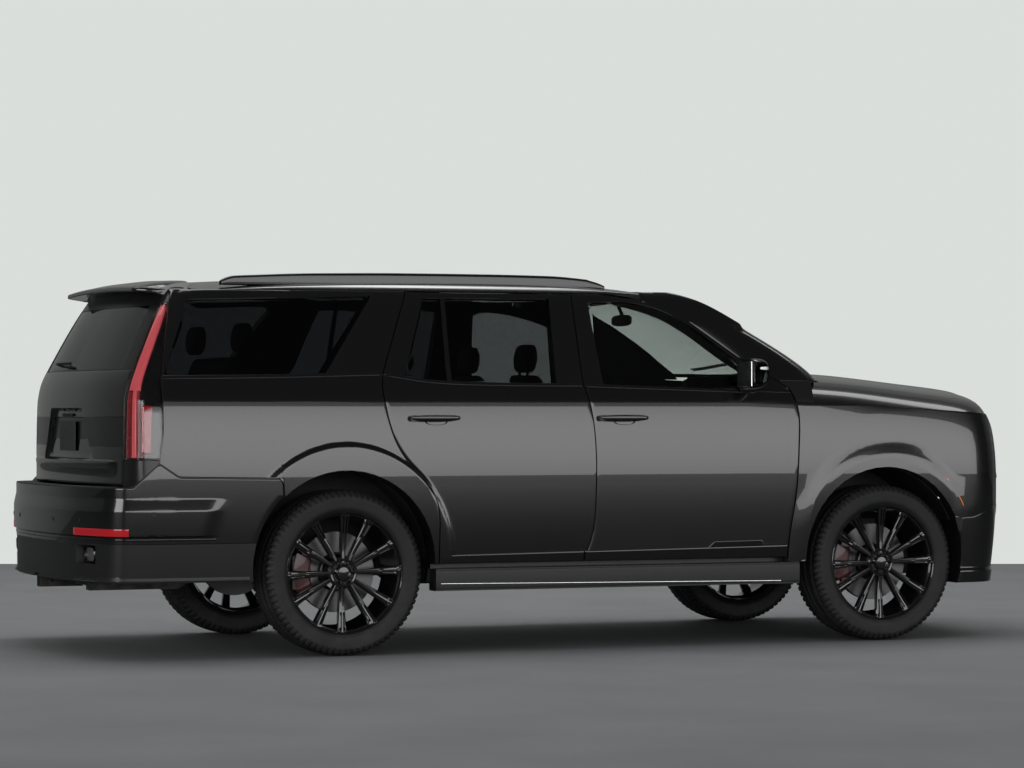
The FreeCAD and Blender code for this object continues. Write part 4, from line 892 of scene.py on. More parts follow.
class VEHICLE_OT_quarter_panels(bpy.types.Operator):
    """Quarter panels over the rear wheels, with the pillar round the quarter windows"""
    bl_idname = "vehicle.quarter_panels"
    bl_label = "Quarter panels"

    def execute(self, context):
        finish = finishes()
        edge = shifted(join([(rear(0.500), DOOR_BOTTOM)], curve(REAR_DOOR_EDGE)), -SHUT)
        f_low, f_high = along(edge, ARCH_HIGH, CREASE), along(edge, CREASE, 1.420)
        x_lamp = LAMP_X + SHUT
        low = join([(x_lamp, 0.992), (rear(-0.977), 0.978), (rear(-0.874), 0.908), (rear(-0.330), 0.8985),
                    (rear(-0.330), ARCH_HIGH + math.sqrt(ARCH_RADIUS ** 2 - 0.330 ** 2))],
                   arch_arc(REAR_AXLE, 133.2, 0, ARCH_RADIUS - 0.003), [f_low[0]])
        start = [(x_lamp, 0.992), (x_lamp, CREASE)]
        cols = 116
        lower = side_patch("cabin", low, [(x_lamp, CREASE), f_low[-1]], start, f_low, 58, cols, 0.4)
        belt = [(x_lamp, 1.400), (rear(-0.097), 1.407), f_high[-1]]
        upper = side_patch("cabin", [(x_lamp, CREASE), f_high[0]], belt,
                           [(x_lamp, CREASE), (x_lamp, 1.400)], f_high, 10, cols)
        points, normals = stacked(lower, upper)
        skin = context.scene.vehicle_sizes.skin
        both_sides("quarter_skin_{side}", [slab(points, normals, skin)], finish["paint"], "body")
        top = DOOR_TOP - SHUT
        inner = [[QUARTER_WINDOW[1], QUARTER_WINDOW[0]], [QUARTER_WINDOW[0], QUARTER_WINDOW[3]],
                 [QUARTER_WINDOW[3], QUARTER_WINDOW[2]]]
        outer = [[(x_lamp, 1.402), (rear(-0.862) + SHUT, 1.775), (rear(-0.842), top)],
                 [(rear(-0.842), top), (rear(0.392) - SHUT, top)], [(rear(0.392) - SHUT, top), f_high[-1]]]
        frame_patch = strip_patch(inner, outer, (34, 60, 34), rows=8)
        both_sides("quarter_frame_{side}", [slab(*frame_patch, 0.018)], finish["trim"], "body")
        w = QUARTER_WINDOW
        pane = side_patch("cabin", [w[1], w[2]], [w[0], w[3]], [w[1], w[0]], [w[2], w[3]], 26, 50,
                          lift=False, proud=-0.012)
        parts = [slab(*pane, 0.005)]
        make("quarter_panes", pair_of(parts), finish["dark"], "body",
             ("quarter_glass",))
        return {"FINISHED"}


HOOD_PROFILE = [(-0.760, 1.462), (-0.430, 1.456), (-0.150, 1.447), (0.140, 1.421), (0.440, 1.388),
                (0.690, 1.364), (0.850, 1.337), (0.915, 1.275), (0.960, 1.150), (1.015, 0.900)]
HOOD_ACROSS = [(0, 0), (0.450, -0.006), (0.800, -0.040), (0.930, -0.084), (1.015, -0.190), (1.060, -0.330)]
HOOD_PLAN = {"back": [(front(-0.262), 0), (front(-0.270), 0.400), (front(-0.285), 0.600),
                      (front(-0.298), 0.700), (front(-0.315), 0.862)],
             "side": [(front(-0.315), 0.862), (front(0.500), 0.862), (front(0.740), 0.795),
                      (front(0.885), 0.715)]}


def hood_sheet(u, w):
    """A point of the hood's sheet: a spline profile from cowl to leading edge, a spline crown
    across, and a sweep back that grows with the square of y."""
    along_x = weights(len(HOOD_PROFILE), u) @ np.array(HOOD_PROFILE)
    across = weights(len(HOOD_ACROSS), w) @ np.array(HOOD_ACROSS)
    square = weights(len(HOOD_ACROSS), w) @ (np.array(HOOD_ACROSS)[:, 0] ** 2)
    start, end = HOOD_PROFILE[0][0], HOOD_PROFILE[-1][0]
    share = weights(len(HOOD_PROFILE), u) @ ((np.array(HOOD_PROFILE)[:, 0] - start) / (end - start))
    return np.column_stack([front(along_x[:, 0]) - 0.270 * share * square, across[:, 0],
                            along_x[:, 1] + across[:, 1]])


def hood_at(x, y):
    """Height of the hood's sheet over a point of the plan."""
    x, y = np.broadcast_arrays(x, y)
    w = solve(lambda t: hood_sheet(0 * t, t)[:, 1], abs(y).ravel(), 0, 1)
    u = solve(lambda t: hood_sheet(t, w)[:, 0], x.ravel(), 0, 1)
    return hood_sheet(u, w)[:, 2].reshape(x.shape)


def grid_normals(points):
    """Outward normals of a grid, from its own differences."""
    along_rows = np.gradient(points, axis=0)
    along_cols = np.gradient(points, axis=1)
    return unit(np.cross(along_cols, along_rows))


class VEHICLE_OT_fenders(bpy.types.Operator):
    """Front fenders from the door to the headlamp, with a flare and a shoulder up to the hood"""
    bl_idname = "vehicle.fenders"
    bl_label = "Front fenders"

    def execute(self, context):
        finish = finishes()
        edge = shifted(curve(FRONT_DOOR_EDGE), SHUT)
        lamp_x = front(0.728)
        back = along(edge, 0.436, CREASE)
        low = join([back[0], (front(-0.4815), 0.436)],
                   arch_arc(FRONT_AXLE, 182.2, 24.6, ARCH_RADIUS - 0.003),
                   [(front(0.560), 0.664), (lamp_x + 0.014, 0.720)])
        fore = join([(lamp_x + 0.014, 0.720), (lamp_x, 1.140), (front(0.668), 1.204)])
        high_x = np.linspace(back[-1][0], front(0.668), 60)
        v = solve(lambda t: hull("nose", t, CREASE - hull_fall("nose", t))[:, 0], high_x, 1, 3)
        high = np.column_stack([high_x, CREASE - hull_fall("nose", v)])
        fore[-1] = high[-1]
        rows, cols = 22, 104
        lower = side_patch("nose", low, high, back, fore, 52, cols, 0.4)
        x = spread(high, cols)[:, 0]
        share = np.linspace(0, 1, rows)[:, None]
        v_even = np.interp(x, high_x, v)
        z_low = CREASE - hull_fall("nose", v_even)
        z = z_low[None] + share * (1.46 - z_low[None])
        stations = station("nose", np.broadcast_to(x, z.shape), z)
        side_points = hull("nose", stations, z)
        hood_edge = np.interp(x, [front(-0.385), front(0.500), front(0.740)], [0.8665, 0.8665, 0.7995])
        y = np.maximum(side_points[..., 1], hood_edge[None])
        top = hood_at(np.broadcast_to(x, z.shape), y) + PROUD
        points = np.stack([np.broadcast_to(x, z.shape), y, np.minimum(z, top)], axis=-1)
        inward = np.stack([x, hood_edge, hood_at(x, hood_edge) + PROUD], axis=-1)
        blend = np.linspace(0, 1, 10)[1:, None, None]
        ledge = (1 - blend) * points[-1][None] + blend * inward[None]
        ledge[..., 2] = hood_at(ledge[..., 0], ledge[..., 1]) + PROUD
        normals = hull_normal("nose", stations, z)
        lifted = points + normals * PROUD * (z < top)[..., None]
        upper = np.concatenate([lifted, ledge])
        points = np.concatenate([lower[0], upper[1:]])
        both_sides("fender_skin_{side}", [slab(points, grid_normals(points), 0.004)], finish["paint"],
                   "body")
        return {"FINISHED"}


class VEHICLE_OT_hood(bpy.types.Operator):
    """The hood's skin, crowned across, with a raised centre bounded by two soft creases"""
    bl_idname = "vehicle.hood"
    bl_label = "Hood"

    def execute(self, context):
        finish = finishes()
        rows, cols = 70, 60
        side = curve(HOOD_PLAN["side"][1:], 40)
        side = spread(join([HOOD_PLAN["side"][0]], side), rows)
        back = spread(curve(HOOD_PLAN["back"]), cols)
        w_side = solve(lambda t: hood_sheet(0 * t, t)[:, 1], side[:, 1], 0, 1)
        u_side = solve(lambda t: hood_sheet(t, w_side)[:, 0], side[:, 0], 0, 1)
        w_back = solve(lambda t: hood_sheet(0 * t, t)[:, 1], back[:, 1], 0, 1)
        u_back = solve(lambda t: hood_sheet(t, w_back)[:, 0], back[:, 0], 0, 1)
        w_fore = np.linspace(0, w_side[-1], cols)
        u_tip = solve(lambda t: -hood_sheet(t, 0 * t)[:, 2], np.array([-1.176]), 0, 1)[0]
        u_fore = u_tip + (u_side[-1] - u_tip) * (np.linspace(0, 1, cols) ** 3)
        middle = np.column_stack([np.linspace(u_back[0], u_tip, rows), np.zeros(rows)])
        grid = coons(np.column_stack([u_back, w_back]), np.column_stack([u_fore, w_fore]), middle,
                     np.column_stack([u_side, w_side]))
        points = hood_sheet(grid[..., 0].ravel(), grid[..., 1].ravel()).reshape(rows, cols, 3)
        ridge = 0.006 * (1 - ease(abs(points[..., 1]), 0.470, 0.530))
        ridge = ridge * ease(points[..., 0], front(-0.30), front(0.0))
        points[..., 2] += PROUD + ridge * (1 - ease(points[..., 0], front(0.70), front(0.88)))
        points = np.concatenate([(points * np.array([1, -1, 1]))[:, :0:-1], points], axis=1)
        normals = grid_normals(points)
        flip = normals[2, 2, 2] < 0
        if flip:
            points, normals = points[:, ::-1], -normals[:, ::-1]
        make("hood_skin", [slab(points, normals, 0.004)], finish["paint"], "hood")
        return {"FINISHED"}


class VEHICLE_OT_roof(bpy.types.Operator):
    """The roof's skin: the crowned top sheet, turned down over both cant rails"""
    bl_idname = "vehicle.roof"
    bl_label = "Roof"

    def execute(self, context):
        finish = finishes()
        profile = np.array([(rear(-1.500), -0.105), (rear(-0.850), -0.048), (rear(-0.200), -0.008),
                            (rear(0.700), 0.004), (front(-1.750), 0.002), (front(-1.230), -0.036),
                            (front(-0.850), -0.110), (front(-0.200), -0.260)])
        across = np.array([(0, 0), (0.450, -0.008), (0.780, -0.042), (1.150, -0.120)])

        def top(x, y):
            """Height of the roof's sheet: spline profile plus spline crown."""
            u = solve(lambda t: (weights(8, t) @ profile)[:, 0], x.ravel(), 0, 1)
            w = solve(lambda t: (weights(4, t) @ across)[:, 0], abs(y).ravel(), 0, 1)
            return (ROOF + (weights(8, u) @ profile)[:, 1] + (weights(4, w) @ across)[:, 1]).reshape(x.shape)
        x = np.linspace(rear(-0.735) + 0.019, front(-1.166), 90)
        levels = np.linspace(1.849, 1.925, 26)
        grid_x, grid_z = np.meshgrid(x, levels)
        v = station("cabin", grid_x, grid_z)
        side = hull("cabin", v, grid_z)
        normals = hull_normal("cabin", v, grid_z)
        side = side + normals * PROUD
        inner = np.linspace(1, 0, 30)[1:, None] * side[-1, :, 1][None]
        y = np.concatenate([side[..., 1], inner])
        xs = np.broadcast_to(x, y.shape)
        sheet = top(xs, y) + PROUD
        z = np.concatenate([side[..., 2], np.full(inner.shape, 9.0)])
        soft = 0.5 * (z + sheet) - 0.5 * np.sqrt((z - sheet) ** 2 + 0.0012 ** 2)
        half = np.stack([xs, y, soft], axis=-1)
        whole = np.concatenate([half[:-1], (half * np.array([1, -1, 1]))[::-1]])
        normals = grid_normals(whole)
        if normals[len(whole) // 2, 40, 2] < 0:
            whole, normals = whole[:, ::-1], -normals[:, ::-1]
        make("roof_skin", [slab(whole, normals, 0.004)], finish["paint"], "body")
        return {"FINISHED"}


# The solids' own finishes


SOLID_FINISHES = {
    "jamb": ("body_side_left", "body_side_right", "roof_panel", "fender_left", "fender_right", "hood",
             "tailgate", "door_front_left", "door_front_right", "door_rear_left", "door_rear_right"),
    "satin": ("front_bumper", "rear_bumper", "grille", "running_boards", "headlamps", "tail_lamps",
              "roof_rails", "mirror_left", "mirror_right"),
    "plastic": ("wheel_liners",),
    "steel": ("frame_rails", "front_suspension", "rear_axle", "knuckle_left", "knuckle_right"),
    "exhaust": ("exhaust",),
    "engine": ("engine_block",),
    "carpet": ("floor_pan",),
    "cabin": ("dashboard", "steering_wheel"),
    "leather": ("seats", "rear_bench"),
    "clear": ("windscreen", "door_glass_front_left", "door_glass_front_right"),
    "dark": ("quarter_glass", "tailgate_glass", "door_glass_rear_left", "door_glass_rear_right"),
    "tyre": ("tyre_front_left", "tyre_front_right", "tyre_rear_left", "tyre_rear_right"),
    "rim": ("rim_front_left", "rim_front_right", "rim_rear_left", "rim_rear_right"),
}


class VEHICLE_OT_solid_finishes(bpy.types.Operator):
    """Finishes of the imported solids: jambs, frame, axles, engine, floor and the parts under the skins"""
    bl_idname = "vehicle.solid_finishes"
    bl_label = "Finishes of the solids"

    def execute(self, context):
        finish = finishes()
        for name, nodes in SOLID_FINISHES.items():
            for node in nodes:
                slots = frame["nodes"][node].data.materials
                slots.clear()
                slots.append(finish[name])
        return {"FINISHED"}


# Wheels


WHEELS = {"front_left": (FRONT_AXLE, 1), "front_right": (FRONT_AXLE, -1), "rear_left": (REAR_AXLE, 1),
          "rear_right": (REAR_AXLE, -1)}
TYRE_HALF = (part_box("tyre_front_left")[1][1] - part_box("tyre_front_left")[0][1]) / 2
RIM_R = (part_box("rim_front_left")[1][0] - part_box("rim_front_left")[0][0]) / 2


def revolved(profile, count):
    """A ring of a profile of (across, radius) points, turned about the axle through the origin."""
    angle = np.linspace(0, 2 * np.pi, count, endpoint=False)[:, None]
    across, radius = np.asarray(profile, float).T
    points = np.stack([radius * np.cos(angle), across + 0 * angle, radius * np.sin(angle)], axis=-1)
    return points.reshape(-1, 3), grid_faces(count, len(profile), wrap_rows=True)


def closed_ring(profile, count):
    """A solid ring: the profile is closed on itself before it is turned."""
    points, _ = revolved(profile, count)
    return points, grid_faces(count, len(profile), wrap_rows=True, wrap_cols=True)


def tyre_part():
    """A tyre: a rounded section turned about the axle, whose radius loses the tread's grooves. Grooves run
    round at two widths, across each shoulder at an even pitch, and as slanted cuts in the ribs between."""
    w, r = TYRE_HALF, HUB
    half = [(w - 0.020, RIM_R + 0.001), (w - 0.004, RIM_R + 0.016), (w - 0.0005, RIM_R + 0.040),
            (w - 0.002, r - 0.034), (w - 0.010, r - 0.018), (w - 0.027, r - 0.0052)]
    side = spread(curve(half, 120), 13)
    crown = np.column_stack([np.linspace(w - 0.027, 0, 13),
                             np.interp(np.linspace(w - 0.027, 0, 13), [0, 0.070, w - 0.027],
                                       [r, r - 0.0015, r - 0.0052])])
    profile = join(side, crown[1:])
    profile = join(profile, (profile * np.array([-1, 1]))[-2::-1])
    blocks = bpy.context.scene.vehicle_sizes.blocks
    count = 6 * blocks
    turn = np.arange(count)[:, None]
    across, radius = profile[:, 0][None], profile[:, 1][None]
    away = abs(across)
    lean = np.round(away / w * 3) * (across > 0)
    step = (turn + lean) % 6
    shoulder = (step < 2) * (away > 0.088) * (radius > r - 0.030)
    sipe = ((turn + np.round(away / w * 9)) % 12 < 1) * (away < 0.080) * (away > 0.030)
    rounds = (abs(away - 0.024) < 0.0052) + (abs(away - 0.084) < 0.0052)
    depth = 0.0085 * shoulder + 0.0030 * sipe + 0.0085 * (rounds > 0)
    rib = 0.0011 * (abs(radius - (RIM_R + 0.022)) < 0.002) + 0.0009 * (abs(radius - (r - 0.036)) < 0.003)
    inward = np.maximum(0, 1 - (r - radius) / 0.05)
    radius = radius - depth * inward
    across = across + np.sign(across) * (rib - 0.0022 * shoulder * (away > 0.11))
    angle = turn * 2 * np.pi / count
    points = np.stack([radius * np.cos(angle), across + 0 * angle, radius * np.sin(angle)], axis=-1)
    return points.reshape(-1, 3), grid_faces(count, len(profile), wrap_rows=True, wrap_cols=True)


def spoke_part(turn):
    """One spoke: sections along the radius, each a ridged bar whose width and reach grow to the rim, with a
    chamfered pocket sunk beside the ridge near the rim, turned about the axle."""
    t = np.linspace(0, 1, 30)
    radius = 0.052 + (RIM_R - 0.056) * t
    wide = 0.0105 + 0.0145 * t ** 1.2 + 0.004 * ease(t, 0.90, 1.0)
    face = TYRE_HALF - 0.040 + 0.012 * t - 0.007 * np.sin(np.pi * t)
    deep = 0.040 - 0.016 * t
    pocket = ease(t, 0.60, 0.64) * (1 - ease(t, 0.90, 0.94))
    side = np.array([-1, -1, -0.86, -0.62, -0.58, -0.22, -0.14, 0.14, 0.22, 0.58, 0.62, 0.86, 1, 1])
    low = np.array([1, 0.28, 0.12, 0.06, 0.06, 0.02, 0, 0, 0.02, 0.06, 0.06, 0.12, 0.28, 1])
    sunk = np.array([0, 0, 0, 0, 1, 1, 0, 0, 1, 1, 0, 0, 0, 0])
    across = face[:, None] - deep[:, None] * low - 0.011 * pocket[:, None] * sunk
    flat = wide[:, None] * side
    rings = np.stack([radius[:, None] + 0 * flat, across, flat], axis=-1)
    c, s = math.cos(turn), math.sin(turn)
    x = rings[..., 0] * c - rings[..., 2] * s
    z = rings[..., 0] * s + rings[..., 2] * c
    return tube(np.stack([x, rings[..., 1], z], axis=-1))


def nut_part(turn, radius=0.054, size=0.0095):
    """A six-sided lug nut with a chamfered crown."""
    angle = np.radians(np.arange(6) * 60)
    levels = [(TYRE_HALF - 0.052, size), (TYRE_HALF - 0.034, size), (TYRE_HALF - 0.031, 0.72 * size)]
    rings = np.array([np.column_stack([radius * math.cos(turn) + grow * np.cos(angle), np.full(6, y),
                                       radius * math.sin(turn) + grow * np.sin(angle)])
                      for y, grow in levels])
    return tube(rings)


def placed(part, x, sign):
    """A wheel's part moved to its axle, and mirrored for the right side."""
    points, faces = part
    moved = points * np.array([1, sign, 1]) + np.array([x, sign * WHEEL_Y, HUB])
    return moved, (faces if sign > 0 else faces[:, ::-1])


class VEHICLE_OT_wheels(bpy.types.Operator):
    """Tyres with tread, and cast wheels with paired spokes, pockets, lug nuts, brake disc and caliper"""
    bl_idname = "vehicle.wheels"
    bl_label = "Wheels"

    def execute(self, context):
        finish = finishes()
        pairs = context.scene.vehicle_sizes.spokes
        w = TYRE_HALF
        lip = [(-w + 0.020, RIM_R - 0.016), (-w + 0.016, RIM_R + 0.004), (-w + 0.020, RIM_R + 0.005),
               (-w + 0.026, RIM_R - 0.001), (w - 0.026, RIM_R - 0.001), (w - 0.020, RIM_R + 0.006),
               (w - 0.0135, RIM_R + 0.0065), (w - 0.0115, RIM_R + 0.003), (w - 0.0145, RIM_R - 0.002),
               (w - 0.021, RIM_R - 0.004), (w - 0.028, RIM_R - 0.006), (w - 0.034, RIM_R - 0.014),
               (w - 0.120, RIM_R - 0.020), (-w + 0.060, RIM_R - 0.034), (-w + 0.034, RIM_R - 0.020)]
        hub = [(w - 0.100, 0.020), (w - 0.100, 0.066), (w - 0.060, 0.078), (w - 0.044, 0.076),
               (w - 0.038, 0.068), (w - 0.040, 0.060), (w - 0.044, 0.056), (w - 0.044, 0.045),
               (w - 0.038, 0.040), (w - 0.032, 0.039), (w - 0.030, 0.0365), (w - 0.030, 0.033),
               (w - 0.033, 0.031), (w - 0.034, 0.028), (w - 0.0325, 0.015), (w - 0.032, 0.0004)]
        spokes = [spoke_part(math.radians(360 * (pair + half) / pairs - (1.6 if half else -1.6)))
                  for pair in range(pairs) for half in (0, 0.5)]
        cast = [closed_ring(lip, 180), revolved(hub, 90)] + spokes
        nuts = [nut_part(number * math.pi / 3) for number in range(6)]
        ring = [closed_ring([(w - 0.0305, 0.0335), (w - 0.0285, 0.0340), (w - 0.0280, 0.0352),
                             (w - 0.0290, 0.0366), (w - 0.0310, 0.0366)], 90)]
        disc = [closed_ring([(-0.045, 0.088), (-0.045, 0.204), (-0.043, 0.205), (-0.032, 0.205),
                             (-0.032, 0.198), (-0.024, 0.198), (-0.024, 0.205), (-0.013, 0.205),
                             (-0.011, 0.204), (-0.011, 0.100), (0.018, 0.094), (0.022, 0.088)], 120)]
        angle = np.radians(np.linspace(180 - 25, 180 + 25, 26))[:, None]
        section = np.array([(0.150, -0.010), (0.150, 0.012), (0.158, 0.019), (0.212, 0.020), (0.236, 0.012),
                            (0.243, -0.004), (0.243, -0.050), (0.236, -0.064), (0.212, -0.070),
                            (0.158, -0.069), (0.150, -0.050), (0.150, -0.047), (0.207, -0.047),
                            (0.207, -0.009)])
        caliper = tube(np.stack([section[:, 0] * np.cos(angle), section[:, 1] + 0 * angle,
                                 section[:, 0] * np.sin(angle)], axis=-1))
        for place, (x, sign) in WHEELS.items():
            body = "wheel_" + place
            make("tyre_skin_" + place, [placed(tyre_part(), x, sign)], finish["tyre"], body,
                 ("tyre_" + place,), 28)
            make("wheel_casting_" + place, [placed(part, x, sign) for part in cast], finish["rim"], body,
                 ("rim_" + place,), 24)
            make("lug_nuts_" + place, [placed(part, x, sign) for part in nuts], finish["satin"],
                 body)
            make("cap_ring_" + place, [placed(part, x, sign) for part in ring], finish["smoked_metal"],
                 body)
            make("brake_disc_" + place, [placed(part, x, sign) for part in disc], finish["disc"],
                 body)
            carrier = "knuckle_" + place[6:] if x == FRONT_AXLE else "body"
            make("caliper_" + place, [placed(caliper, x, sign)], finish["caliper"], carrier)
        return {"FINISHED"}


# The tail


GATE_EDGE = [(0.842, 0.868), (0.852, 1.390), (0.716, 1.800)]


def gate_half(z):
    """Half width of the tailgate at a height."""
    return np.interp(z, [z for _, z in GATE_EDGE], [y for y, _ in GATE_EDGE])


def tail_grid(z, y):
    """Points and normals of the cabin's tail over a grid of heights and half widths."""
    v = tail_station("cabin", y, z)
    return hull("cabin", v, z), hull_normal("cabin", v, z)


def across_middle(points):
    """A left half grid, from the middle outwards, joined to its mirror."""
    return np.concatenate([(points * np.array([1, -1, 1]))[:, :0:-1], points], axis=1)


class VEHICLE_OT_tailgate(bpy.types.Operator):
    """The tailgate: skin with its plate recess and lip, black glass to the lamps, wiper and blank plate"""
    bl_idname = "vehicle.tailgate"
    bl_label = "Tailgate"

    def execute(self, context):
        finish = finishes()
        z = np.unique(np.concatenate([np.linspace(0.8685, 1.437, 66),
                                      [0.978, 0.986, 1.196, 1.204, 1.25]]))[:, None]
        share = np.linspace(0, 1, 96)[None]
        y = (gate_half(z) - 0.0035) * share
        z = z + 0 * y
        points, normals = tail_grid(z, y)
        trapezoid = np.interp(z, [0.985, 1.250], [0.470, 0.300])
        inside = np.minimum(np.minimum(trapezoid - y, 1.250 - z), z - 0.985)
        lip = ease(z, 0.905, 0.975) * (1 - ease(z, 0.981, 0.989)) * (1 - ease(y, 0.70, 0.80))
        shelf = -0.007 * (1 - ease(z, 1.196, 1.206)) * ease(z, 1.02, 1.15)
        raised = PROUD + 0.016 * lip + shelf - 0.022 * ease(inside, 0.0, 0.012)
        points = across_middle(points + normals * raised[..., None])
        normals = across_middle(normals)
        normals[:, :109, 1] = -abs(normals[:, :109, 1])
        make("tailgate_skin", [slab(points, normals, 0.004)], finish["paint"], "tailgate")
        z = np.linspace(1.441, 1.842, 40)[:, None]
        y = (np.interp(z, [1.390, 1.800, 1.860], [0.852, 0.716, 0.700]) - 0.004) * np.linspace(0, 1, 50)[None]
        points, normals = tail_grid(z + 0 * y, y)
        points = across_middle(points - normals * 0.003)
        normals = across_middle(normals)
        normals[:, :49, 1] = -abs(normals[:, :49, 1])
        make("tailgate_pane", [slab(points, normals, 0.005)], finish["dark"], "tailgate",
             ("tailgate_glass",))
        x_plate = float(tail_grid(np.array([[1.11]]), np.array([[0.0]]))[0][0, 0, 0]) + 0.012
        plate = box_part((x_plate, -0.1525, 1.030), (x_plate + 0.003, 0.1525, 1.182), 0.0012)
        lamps = [box_part((x_plate - 0.002, y - 0.030, 1.232), (x_plate + 0.012, y + 0.030, 1.240), 0.002)
                 for y in (-0.11, 0.11)]
        make("blank_plate", [plate], finish["satin"], "tailgate")
        make("plate_lamps", lamps, finish["smoked_metal"], "tailgate")
        press = box_part((x_plate - 0.004, -0.09, 1.205), (x_plate + 0.01, 0.09, 1.222), 0.004)
        make("gate_release", [press], finish["rubber"], "tailgate")
        x_arm = float(tail_grid(np.array([[1.47]]), np.array([[0.0]]))[0][0, 0, 0]) - 0.012
        s = np.linspace(0, 1, 20)[:, None]
        ring = np.radians(np.arange(8) * 45)[None]
        thick = 0.009 - 0.004 * s
        arm = np.stack([x_arm + 0.055 * s + thick * np.cos(ring), 0.02 + 0.43 * s + 0 * ring,
                        1.462 + 0.02 * s + thick * np.sin(ring)], axis=-1)
        blade = np.stack([x_arm + 0.004 + 0.14 * (s - 0.5) ** 2 + 0.0045 * np.cos(ring),
                          0.06 + 0.40 * s + 0 * ring, 1.482 + 0.006 * np.sin(ring) + 0 * s], axis=-1)
        arm[..., 0] = x_arm + 0.06 * s ** 2 + thick * np.cos(ring)
        make("rear_wiper", [tube(arm), tube(blade)], finish["rubber"], "tailgate")
        return {"FINISHED"}


def lamp_grid(f_low, f_high, z_low, z_high, rows, cols, depth):
    """A grid between the tailgate and the quarter panel: shares f across the lamp, heights z up it, and a
    depth behind the hull that may vary over the grid."""
    z = np.linspace(z_low, z_high, rows)[:, None] + np.zeros((1, cols))
    ends = np.stack([np.interp(z[:, 0], [z_low, z_high], f) for f in (f_low, f_high)], axis=1)
    f = ends[:, :1] + (ends[:, 1:] - ends[:, :1]) * np.linspace(0, 1, cols)[None]
    v_gate = tail_station("cabin", gate_half(z[:, 0]) + 0.004, z[:, 0])[:, None]
    x_side = rear(np.interp(z[:, 0], [0.990, 1.390, 1.775], [-0.952, -0.952, -0.862]))
    v_side = station("cabin", x_side - 0.004, z[:, 0])[:, None]
    v = v_gate + f * (v_side - v_gate)
    normals = hull_normal("cabin", v, z)
    return hull("cabin", v, z) - normals * depth, normals


class VEHICLE_OT_tail_lamps(bpy.types.Operator):
    """Tall tail lamps: a ribbed light guide that runs up the pillar, a reflector and a clear lens"""
    bl_idname = "vehicle.tail_lamps"
    bl_label = "Tail lamps"

    def execute(self, context):
        finish = finishes()
        both_sides("tail_lamp_housing_{side}",
                   [slab(*lamp_grid((0, 0), (1, 1), 0.993, 1.774, 60, 12, 0.022), 0.020)], finish["trim"],
                   "body")
        upper = slab(*lamp_grid((0.06, 0.10), (0.50, 0.62), 1.338, 1.770, 60, 8, 0.010), 0.010)
        ribs = [slab(*lamp_grid((0.06, 0.06), (0.48, 0.48), z, z + 0.0052, 3, 10, 0.008), 0.012)
                for z in np.arange(1.004, 1.330, 0.0085)]
        core = slab(*lamp_grid((0.26, 0.26), (0.40, 0.40), 1.003, 1.340, 40, 5, 0.005), 0.008)
        both_sides("tail_light_guide_{side}", [upper, core], finish["red_glow"], "body")
        both_sides("tail_light_ribs_{side}", ribs, finish["red_lens"], "body")
        # The reflector takes the red lens's faint emission: a painted glow, as a reflector is no lamp
        reflector = slab(*lamp_grid((0.60, 0.60), (0.83, 0.86), 1.022, 1.262, 24, 6, 0.010), 0.006)
        both_sides("tail_reflector_{side}", [reflector], finish["red_lens"], "body")
        sill = slab(*lamp_grid((0.05, 0.05), (0.50, 0.50), 0.9945, 1.001, 3, 8, 0.006), 0.012)
        both_sides("tail_lamp_sill_{side}", [sill], finish["smoked_metal"], "body")
        lens = slab(*lamp_grid((0, 0), (1, 1), 0.992, 1.775, 70, 14, -0.0008), 0.003)
        make("tail_lamp_lenses", pair_of([lens]), finish["lens"], "body", ("tail_lamps",))
        return {"FINISHED"}


def bumper_top(x):
    """Height of the rear bumper's upper edge."""
    return np.interp(x, [rear(-1.100), rear(-0.977), rear(-0.874), rear(-0.330)],
                     [0.853, 0.972, 0.902, 0.893])


def bumper_patch(v_low, v_high, z_low, z_high, rows, cols, raised):
    """A grid of the rear bumper's hull between two plan stations and two edges, raised by a function."""
    v = np.linspace(0, 1, cols)[None] * np.ones((rows, 1))
    v = v_low + (v_high - v_low) * v
    share = np.linspace(0, 1, rows)[:, None]
    x = hull("bumper", v, 0.6 + 0 * v)[..., 0]
    low = z_low(x) if callable(z_low) else z_low + 0 * x
    high = z_high(x) if callable(z_high) else z_high + 0 * x
    z = low + share * (high - low)
    points = hull("bumper", v, z)
    normals = hull_normal("bumper", v, z)
    return points + normals * raised(points[..., 0], points[..., 1], z)[..., None], normals


